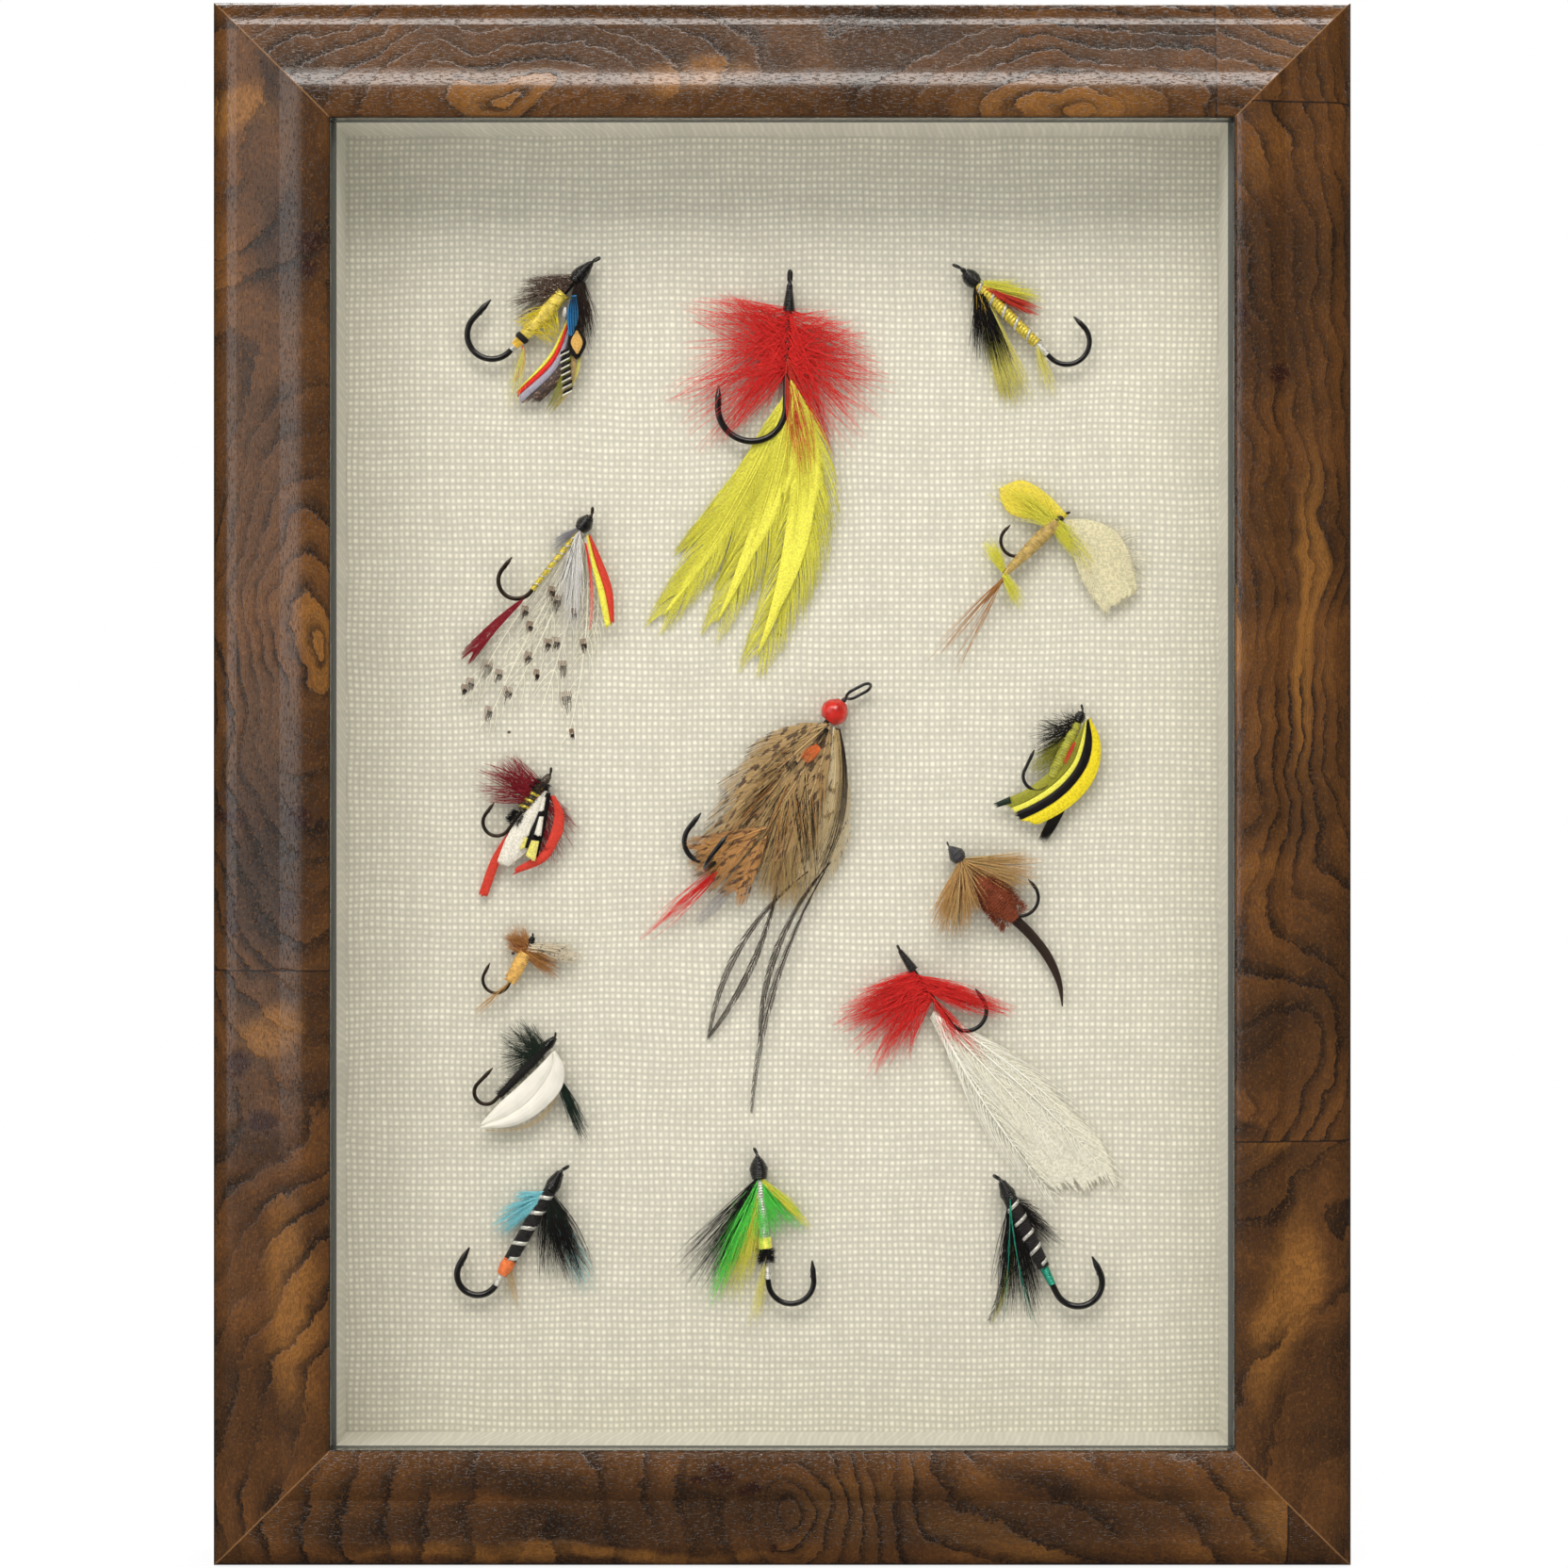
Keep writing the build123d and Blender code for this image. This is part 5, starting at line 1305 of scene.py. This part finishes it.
def large_brown_lure(fly):
    fly.piece("red_head", lacquer("red_head_varnish", (206, 44, 36))).wound(
        4, 9.6, [1.2, 2.7, 3.3, 3, 1.9], 0
    )
    mottled = speckled("mottled_brown_feather", (186, 156, 104), (104, 80, 54), 1, 0.51, 40, 3)
    body = fly.piece("mottled_body", mottled)
    for tip, width, bow in (
        ((-21, -17), 5, -2), ((-27, -25), 6, -2), ((-30, -33), 7, -1), ((-32, -39), 8, 0),
        ((-24, -36), 8, 1), ((-18, -40), 8, 2),
    ):
        body.blade(
            (-5.6, -8.4), tip, width * 0.7, bow=bow, ridges=7, high=4.4, low=3.6, widest=0.6, jag=1.4
        )
        body.feather(
            (-5.6, -8.4), tip, width * 1.3, bow=bow, barbs=80, sweep=20, thick=0.2, high=4.9, low=3.6,
            widest=0.6,
        )
    edge = [(-12, -11), (-20, -17), (-26, -25), (-31, -33), (-33, -40), (-27, -45)]
    edge += [(-20, -50), (-13, -51), (-8, -47), (-6, -36)]
    for part, dye, count in (
        ("dark", "dark_brown", 90), ("tawny", "ginger", 70), ("straw", "straw", 110)
    ):
        fly.piece(f"body_{part}_strands", dye).spray(
            (10, 26), edge, count, thick=0.2, low=4.4, high=5.8, locks=14, bow=0.05, stray=0.6,
            reach=(0.5, 1),
        )
    pale = fly.piece(
        "straw_side_feathers",
        speckled("barred_straw_feather", (232, 216, 174), (120, 94, 62), 1, 0.57, 20, 2.6),
    )
    for tip, width, bow in (
        ((-9, -44), 6, 2), ((-4.6, -30), 4, 1.4), ((-14, -46), 7, 2), ((-5, -40), 4, 2)
    ):
        pale.blade(
            (-4.6, -9), tip, width * 0.6, bow=bow, ridges=6, high=3.2, low=1.4, widest=0.6, jag=1.4
        )
        pale.feather(
            (-4.6, -9), tip, width * 1.3, bow=bow, barbs=76, sweep=20, thick=0.15, high=4.2, widest=0.6
        )
    fly.piece("dark_side_strand", "dark_brown").slip(
        (-3.6, -9.4), (-8, -44), 2.4, bow=3, count=13, low=3.8, high=4.8, ragged=0.12
    )
    fly.piece("pale_side_strand", "straw").slip(
        (-4, -9.6), (-9.4, -43), 2.4, bow=2.4, count=6, low=3.8, high=5, ragged=0.2
    )
    fly.piece("orange_spot", "orange").slip((-8, -13.4), (-11.6, -16.6), 3, count=16, low=5.8, high=5.8)
    black = fly.piece("black_spots", "black")
    black.slip((-6, -9.4), (-8.4, -12.8), 1.8, count=8, low=5.8, high=5.8)
    black.slip((-13, -17), (-15.6, -18.4), 1.4, count=6, low=5.8, high=5.8)
    fly.piece("loose_fibres", "straw").spray(
        (9, 16), [(-14, -8), (-22, -18.5), (-24, -23)], 40, thick=0.08, high=4.5
    )
    tawny = fly.piece(
        "tawny_feathers", speckled("tawny_mottle", (192, 140, 76), (110, 74, 42), 0.9, 0.52, 60, 3)
    )
    for root, tip, width in (
        ((-20, -32), (-36, -37.6), 6), ((-22, -34), (-33, -43), 6), ((-20, -34), (-27, -46.4), 6),
    ):
        tawny.blade(root, tip, width * 0.6, ridges=6, high=4.6, low=2.8, widest=0.6, jag=1.4)
        tawny.feather(
            root, tip, width * 1.2, barbs=60, sweep=26, thick=0.19, high=5.2, low=3.2, widest=0.6
        )
    fly.piece("brown_fluff", "brown").spray(
        ((-24, -32), (-30, -38)), [(-32, -34), (-36.4, -38), (-34.4, -43.6), (-27, -46)], 110, thick=0.1
    )
    fly.piece("amber_fluff", "gold_yellow").spray(
        ((-26, -34), (-30, -38)), [(-34, -36), (-35.6, -40), (-31, -44.6)], 90, thick=0.09, high=4.4
    )
    fly.piece("straw_fluff", "straw").spray(
        ((-14, -36), (-20, -40)), [(-24, -47), (-20, -51), (-14, -52), (-8, -49)], 220, thick=0.08
    )
    fly.piece("grey_feather", "ash_grey").feather(
        (-25.6, -43.4), (-35.4, -53.4), 3, barbs=36, sweep=24, thick=0.09
    )
    fly.piece("red_tail", "red").spray(
        ((-29.4, -40), (-30.6, -41.6)), [(-44, -58.6), (-48.9, -57), (-51.2, -61), (-47, -53.5)], 34,
        thick=0.16, reach=(0.6, 1),
    )
    tails = fly.piece("long_tail_hackles", "dark_brown")
    for root, tip, bow in (
        ((-16.8, -42), (-33.3, -80.1), 2.6), ((-10.4, -42), (-33.3, -80.6), -4.6),
        ((-6.6, -42), (-23.4, -97.6), -3.4), ((-5.4, -40), (-21.6, -80), -3.8),
    ):
        tails.feather(
            root, tip, 1.7, bow=bow, barbs=90, sweep=16, thick=0.14, widest=0.5, high=3, low=0.8, gaps=0.1
        )


def curved_wing_fly(fly):
    black_head(fly, 1.9, 4.8, [0.8, 1.3, 1.2, 0.8])
    fly.piece("olive_body", thread("olive")).wound(4.4, 18.4, [1, 1.4, 1.5, 1], 0.6)
    fly.piece("body_hackle", "olive").spray(
        (6, 15), [(-8.4, -8.6), (-13.6, -14), (-13, -17)], 120, thick=0.11
    )
    outer = [(0.9, -2.8), (3.2, -8), (3.3, -12.6), (1.6, -17.6), (-2, -22), (-6.4, -25.2), (-11.2, -27.6)]
    stripe = [(0.6, -3.2), (1.4, -8.6), (0.6, -13), (-2, -17.4), (-5.8, -21.2), (-10, -24), (-15, -26.4)]
    inside = [
        (0.2, -3.6), (-0.4, -9), (-1.6, -13), (-4.4, -17.2), (-8, -20.4), (-12, -22.8), (-16.4, -24.8)
    ]
    edge = [
        (-0.1, -3.8), (-1.4, -9.2), (-2.8, -13), (-5.6, -16.6), (-9.2, -19.6), (-13.2, -22),
        (-17.4, -23.8),
    ]
    olive = [
        (-0.4, -4), (-3, -9), (-6.2, -13.2), (-10, -16.8), (-14, -19.6), (-17.6, -21.2), (-20.6, -22.4)
    ]
    for part, dye, left, right, ridges, lift in (
        ("wing_outer_yellow", "golden_yellow", outer, stripe, 9, 3.9),
        ("wing_black_stripe", "black", stripe, inside, 8, 4.1),
        ("wing_inner_yellow", "yellow", inside, edge, 4, 4),
        ("wing_olive", "olive", edge, olive, 10, 3.6),
    ):
        fly.piece(part, dye).vane(
            left, right, ridges, high=lift, low=lift - 0.8, crown=0.3, jag=0.9, rows=36
        )
    fly.piece("wing_dark_tip", "dark_green").vane(
        [(-17, -22.6), (-20.6, -23.6)], [(-17.4, -21), (-21, -22.6)], 5, high=3.2, low=2.8, rows=8
    )
    fly.piece("tail_tuft", "black").slip(
        (-5.4, -23), (-10, -31.4), 2.4, count=26, ragged=0.14, thick=0.18, narrow=0.8
    )
    fly.piece("red_accent", "scarlet").slip(
        (-2.6, -8.6), (-5, -13.6), 0.8, count=5, low=4.6, high=4.8, thick=0.2
    )
    fly.piece("throat_hackle", "black").spray(
        (3.4, 9), [(-2.6, -1), (-9, -2.2), (-12.4, -5), (-12, -9), (-10.6, -13), (-7, -16)], 120,
        thick=0.17, high=4.9, bow=0.06, locks=12, stray=0.5, reach=(0.7, 1.05),
    )


def brown_hair_fly(fly):
    fly.piece("head", lacquer("grey_head_lacquer", (58, 58, 62))).wound(
        1.4, 5.6, [0.5, 1.2, 1.9, 1.9, 1.2], 0.5
    )
    rusty = fly.piece("rust_body", "rust")
    rusty.wound(10, 23.8, [1.2, 2.3, 3.1, 3.5, 3.3, 2.4, 1.2], 0.6)
    rusty.fuzz(12, 23.6, 4.2, 1.3, 1300, thick=0.16)
    fan = [(-3.2, -16.5), (-2.4, -19.9), (0.6, -22.5), (3.6, -22.6), (6.4, -17), (10, -15.5)]
    fan += [(14.6, -13.5), (18.7, -10.4), (21.3, -8), (22.2, -4.3), (19, -2.2)]
    fly.piece("hair_fan", "tan").spray(
        (5, 6.6), fan, 420, thick=0.19, reach=(0.66, 1.02), bow=0.03, low=2, high=7.2, stray=0.6, locks=18
    )
    fly.piece("dark_hairs", "brown").spray(
        (5, 6.6), fan, 80, thick=0.17, reach=(0.4, 0.95), bow=0.03, low=2, high=7.3, locks=9
    )
    fly.piece("light_hairs", "straw").spray(
        (5, 6.6), fan, 130, thick=0.16, reach=(0.7, 1), bow=0.03, low=4, high=7.5, locks=12
    )
    fly.piece("curved_quill", "dark_brown").vane(
        [(14.2, -17.6), (18.8, -22), (23, -27.4), (25.8, -33.4), (26.7, -37.6)],
        [(15.8, -15.8), (20.8, -20.8), (24.8, -26.4), (26.9, -32.8), (27, -37.6)], 4, high=2.6, low=1.6,
        crown=0.5, jag=0.1,
    )


def red_and_white_streamer(fly):
    black_head(fly, 1.4, 7, [0.5, 0.8, 1, 1.2])
    left = [
        (-2, -8.5), (-8, -10), (-13.4, -14.6), (-14, -18), (-11.2, -22.1), (-8.8, -26), (-5.8, -29.8),
        (-0.2, -29.2), (3.4, -24),
    ]
    fly.piece("red_hackle", "red").spray(
        (7, 15), left, 430, thick=0.16, reach=(0.6, 1.03), locks=20, stray=0.6, bow=0.05
    )
    fly.piece("red_side_tuft", "red").spray(
        (8, 13), [(16, -9.5), (27.6, -14.7), (26, -16.4), (19, -17)], 200, thick=0.14, reach=(0.6, 1.03),
        stray=0.4, locks=6,
    )
    fly.piece("red_low_tuft", "red").spray(
        (13, 20), [(12, -25), (16, -26), (21.4, -27.4), (20.6, -23)], 90, thick=0.11, reach=(0.5, 1)
    )
    upper = [(8.6, -15), (22.7, -22.9), (33.3, -30.9), (40, -38), (46.7, -44.6), (51, -54.7)]
    lower = [(7.8, -16.6), (13.2, -27), (21, -37.2), (26.8, -44.6), (31.1, -51), (36.6, -56.9)]
    fly.piece("white_plume_web", web("plume_web", (255, 253, 236))).vane(
        upper, lower, 22, high=2.6, low=0.8, crown=0.5, jag=3.4, rows=40
    )
    white = fly.piece("white_plume", white_down("plume_fibre", (255, 254, 238)))
    for tip, width, bow in (
        ((50.8, -54.5), 8.5, 1.4), ((46, -46), 7, 2), ((42, -52), 8, 0.4), ((35.6, -56.9), 7, -1.6),
        ((31, -50), 7, -1.6), ((38, -40), 6, 1.8), ((27, -42), 6, -1.4),
    ):
        white.feather(
            (9, -16), tip, width, bow=bow, barbs=30, sweep=14, thick=0.17, high=3.2, low=1, gaps=0.35
        )


def small_orange_dry_fly(fly):
    black_head(fly, 0.9, 3.2, [0.5, 0.9, 0.9])
    fly.piece("orange_body", thread("amber", 0.8)).wound(5, 12.6, [1.4, 1.6, 1.4, 1], 0.5)
    fly.piece("body_fur", "amber").fuzz(4.8, 12.6, 1.3, 0.9, 300, thick=0.12)
    fly.piece("hackle_up", "ginger").spray(
        (2.6, 5.6), [(-1.2, 1.6), (-4, 2.4), (-6.2, 1.4), (-7.6, -1.6), (-6.6, -3.4)], 120, thick=0.17,
        locks=8, stray=0.4,
    )
    fly.piece("hackle_up_rust", "rust").spray((2.6, 5.6), [(-3, 1), (-7, -1), (-6, -4)], 70, thick=0.1)
    fly.piece("hackle_down", "ginger").spray(
        (3.4, 6), [(4.4, -5.6), (6, -8), (5.4, -10.6), (2.2, -9.6)], 90, thick=0.15, locks=7, stray=0.5
    )
    grizzled = speckled("grizzled_wing", (226, 214, 186), (84, 70, 58), 0.7, 0.56)
    fly.piece("wing", grizzled).spray(
        (2.6, 4.4), [(8.6, -2.6), (11.6, -5.6), (9, -8)], 70, thick=0.2, stray=0.3, reach=(0.8, 1),
        bow=0.03, locks=7,
    )
    fly.piece("tail", "tan").spray(
        (11.8, 12.8), [(-14.6, -18), (-14.2, -19.6)], 18, thick=0.13, bow=0.03, reach=(0.85, 1), stray=0.4
    )


def white_winged_fly(fly):
    black_head(fly, 1.2, 4.4, [0.5, 0.9, 1.2, 1])
    fly.piece("black_body", "black").fuzz(5, 20, 0.7, 1.3, 420, thick=0.13)
    fly.piece("black_body_core", thread("black", 0.8)).wound(4.4, 19.8, [0.9, 1, 0.9, 0.7], 0.4)
    fly.piece("hackle", "dark_green").spray(
        (4, 9), [(-5, 1.4), (-9, 3.4), (-14.4, 0.8), (-13.6, -3.2), (-14, -8), (-12, -11)], 130,
        thick=0.17, bow=0.06, locks=12, stray=0.4,
    )
    rim = [(-0.8, -3.8), (1.2, -7.6), (0.8, -12), (-3, -16.8), (-9.6, -20.8), (-18.2, -21.8)]
    chord = [(-1.6, -4.2), (-3.6, -6.4), (-6.6, -9.4), (-10.2, -12.8), (-13.6, -15.8), (-17.8, -20.4)]
    fold = [(-1.4, -4), (-1.4, -7), (-3.4, -11), (-6.6, -15), (-11.2, -18.4), (-18, -21.2)]
    satin = plain(
        "satin_feather", (228, 226, 216), 0.45, grain=180, spread=0.04, depth=0.01, Sheen_Weight=0.2
    )
    fly.piece("white_wing", satin).vane(
        chord, fold, 9, high=4.4, low=3.8, crown=0.45, relief=0.03, jag=0.4, rows=36
    )
    fly.piece("white_wing_outer", satin).vane(
        fold, rim, 9, high=4.4, low=3.8, crown=0.7, relief=0.03, jag=0.4, rows=36
    )
    fly.piece("amber_edge", "straw").slip(
        (0.8, -7), (-17.4, -22.2), 0.8, bow=6.2, count=4, low=3.2, high=3.6, narrow=1
    )
    fly.piece("dark_tuft", "dark_green").spray(
        ((-1.4, -8), (0.6, -11)), [(3.6, -22), (5.6, -25), (7.4, -23.6), (4, -16)], 110, thick=0.14,
        stray=0.5, bow=0.04, locks=6,
    )
    fly.piece("dark_tuft_flash", "teal_green").spray(
        ((-1, -8), (0.6, -11)), [(5.4, -24), (4.4, -19)], 20, thick=0.12, stray=0.4, bow=0.03, high=3.6
    )


def black_and_silver_fly(fly):
    black_head(fly, 2.6, 7.4, [0.9, 1.4, 1.8, 1.5])
    fly.piece("black_body", thread("black", 0.8)).wound(7, 25.8, [1.4, 1.6, 1.5], 0.5)
    fly.piece("silver_rib", silver()).rib(8.6, 25.4, [1.6, 1.6], 4.2, 0.95, phase=0.6)
    fly.piece("orange_butt", thread("orange", 0.6)).wound(25.6, 29.6, [1.5, 1.6, 1.2], 0.4)
    fly.piece("silver_tag", silver()).wound(29.4, 32.4, [0.95, 0.8], 0.4)
    fly.piece("blue_throat", "sky_blue").spray(
        (7.4, 9.6), [(-11, -6.6), (-15.4, -11), (-17.8, -15.2), (-15.4, -17), (-12, -14.6)], 190,
        thick=0.17, stray=0.4, reach=(0.7, 1.02), bow=0.02, locks=8,
    )
    fly.piece("wing_blue_tips", "sky_blue").spray(
        ((-2, -12), (-3.4, -11)), [(7.6, -27), (6, -31.6), (2, -30)], 30, thick=0.1, stray=1,
        reach=(0.8, 1), low=0.4, high=1.2,
    )
    fly.piece("wing_black_hair", "black").spray(
        (7.6, 9.6), [(-7.6, -26), (-4, -28.4), (-0.6, -27.4), (3, -28.6), (5.6, -25.6), (5.4, -21.6)],
        260, thick=0.15, reach=(0.6, 1), locks=12, stray=0.5, low=1.4,
    )
    fly.piece("wing_green_base", "dark_green").spray(
        (7.4, 9.4), [(-4.6, -18), (0.6, -18.4), (2, -14)], 90, thick=0.14, high=4.6
    )
    fly.piece("tail", "straw").spray((25.4, 27), [(-10, -33.6), (-11.6, -35), (-12, -31)], 30, thick=0.08)


def green_hackle_fly(fly):
    black_head(fly, 2.6, 7.4, [0.9, 1.7, 2.2, 2, 1.7])
    fly.piece("black_hair", "black").spray(
        (6.4, 8.4), [(-19.6, -27.4), (-17.8, -31.2), (-13.6, -34.4), (-11, -31)], 110, thick=0.14,
        bow=0.04, reach=(0.7, 1), locks=8,
    )
    fly.piece("olive_hair", "yellow").spray(
        (8, 12), [(-10, -38), (-6, -36.6), (-2, -35)], 170, thick=0.09, reach=(0.6, 1)
    )
    fly.piece("green_hackle_left", "green").spray(
        (6.6, 8.4), [(-9, -17), (-12.4, -36.8), (-10.4, -37.4), (-6.4, -30), (-3, -26)], 180, thick=0.17,
        high=4.8, reach=(0.6, 1), locks=9, bow=0.03, stray=0.5,
    )
    fly.piece("green_hackle_right", "green").spray(
        (6.6, 8.4), [(1, -20), (5.6, -20), (9.4, -19.6), (12, -20.4), (10.4, -15)], 130, thick=0.15,
        high=4.8, reach=(0.6, 1), stray=0.5, locks=7,
    )
    fly.piece("yellow_strand", "yellow").spray(
        (6.6, 7.6), [(9.6, -13.4), (12.6, -18.6), (11, -18.6)], 110, thick=0.14, stray=0.4, bow=0.03,
        high=5.4,
    )
    fly.piece("silver_body", silver()).wound(7.6, 21, [1.1, 1.2, 1.2], 0.6)
    fly.piece("body_hackle_over", "green").spray(
        (8, 14), [(-1.6, -20), (2, -24), (5.6, -19)], 80, thick=0.12, low=3, high=5.6
    )
    fly.piece("yellow_band", thread("yellow")).wound(20.8, 23.4, [1.5, 1.6, 1.5], 0.4)
    fly.piece("black_band", "black").fuzz(23.2, 26.4, 1, 1.8, 420, thick=0.12)
    fly.piece("silver_tag", silver()).wound(26, 30.4, [0.95, 0.8], 0.4)
    fly.piece("pale_tail", "pale_yellow").spray(
        (25, 27.4), [(-2.4, -41), (-1, -43), (0.6, -38)], 46, thick=0.08, bow=0.04
    )


def black_hackle_fly(fly):
    black_head(fly, 2.6, 7, [0.9, 1.3, 1.9, 1.6])
    fly.piece("black_body", thread("black", 0.8)).wound(6.6, 24.4, [1.6, 1.8, 1.7, 1.4], 0.5)
    fly.piece("silver_rib", silver()).rib(8, 23.6, [1.8, 1.95, 1.8, 1.6], 4.2, 0.8, phase=0.4)
    fly.piece("teal_tag", teal()).wound(24.2, 28.8, [1.05, 0.85], 0.4)
    fly.piece("black_hackle", "black").spray(
        (6.4, 9.6),
        [(-1.6, -26), (0.6, -31), (3.6, -33.6), (6.4, -32), (8.6, -34.8), (9.8, -30), (9.6, -24)], 240,
        thick=0.17, reach=(0.55, 1.02), high=4.8, bow=0.05, locks=12, stray=0.5,
    )
    flash = fly.piece("teal_flash", teal())
    for tip, bow in (((1.6, -34.6), 0.5), ((9.6, -35.8), -1.2), ((8, -34), -0.6), ((2.4, -20), 0.4)):
        flash.slip((3.2, -6), tip, 0.5, bow=bow, count=1, low=3.8, high=5, thick=0.22, narrow=1)
    fly.piece("green_edge_feather", "olive").feather(
        (2.6, -5.6), (-1, -34.6), 1.8, bow=2.6, barbs=70, sweep=18, thick=0.1, gaps=0.2, widest=0.6
    )
    fly.piece("black_edge_feather", "black").feather(
        (2.4, -5.6), (-1.6, -34.4), 1.8, bow=2.2, barbs=70, sweep=18, thick=0.11, gaps=0.2, widest=0.6
    )
    fly.piece("black_wing", "black").spray(
        (6, 8.4), [(7.4, -7.4), (11.2, -9.4), (14.4, -15.6), (15.6, -17), (11.6, -18.4), (10.4, -14)],
        190, thick=0.12, reach=(0.6, 1),
    )


# Each fly, the place of its eye as a share of the opening's width and height, and its shank's end
# from the eye, in millimetres
placed_flies = (
    (barred_salmon_fly, 0.292, 0.907, (-20.36, -22.04)),
    (red_and_yellow_streamer, 0.509, 0.896, (-1.02, -31.88)),
    (gilt_hair_fly, 0.695, 0.902, (22.06, -22.06)),
    (fan_wing_fly, 0.290, 0.712, (-15.18, -19.1)),
    (yellow_mayfly, 0.825, 0.711, (-9.62, -9.62)),
    (crimson_hackle_fly, 0.242, 0.512, (-10.73, -14.2)),
    (large_brown_lure, 0.581, 0.574, (-30.18, -38.09)),
    (curved_wing_fly, 0.844, 0.561, (-8.39, -17.71)),
    (brown_hair_fly, 0.685, 0.455, (13.94, -15.44)),
    (red_and_white_streamer, 0.629, 0.376, (12.29, -17.64)),
    (small_orange_dry_fly, 0.220, 0.385, (-6.24, -11.97)),
    (white_winged_fly, 0.247, 0.308, (-14.68, -15.29)),
    (black_and_silver_fly, 0.255, 0.209, (-16.07, -28.02)),
    (green_hackle_fly, 0.471, 0.221, (2.69, -31.18)),
    (black_hackle_fly, 0.743, 0.202, (13.7, -27.81)),
)


def dress_flies():
    for dressing, across, up, end in placed_flies:
        fly = Fly(dressing.__name__, across, up, end)
        dressing(fly)
        fly.finish()


def dress_hooks():
    japan = {"grain": 900.0, "spread": 0.3, "Coat_Weight": 0.6}
    japanned = plain("japanned_hook_wire", (26, 25, 27), 0.28, 0.4, **japan)
    bronzed = plain("bronzed_hook_wire", (64, 54, 46), 0.3, 0.8, grain=900.0, spread=0.2)
    fine = ("fan_wing", "yellow_mayfly", "crimson_hackle", "small_orange_dry", "white_winged")
    for name in nodes:
        if name.endswith("_hook"):
            dress(name, bronzed if name.startswith(fine) else japanned)


stage_floor()
studio()
camera()
dress_frame()
linen_specks = [(-0.6, 210, 0.7, 0.6, 0), (-62.7, 187.6, 0.6, 0.5, 0), (-61.8, 136.8, 0.6, 0.5, 0)]
linen_sheet(linen_material("linen_weave", (208, 206, 191), linen_specks))
dress_flies()
dress_hooks()
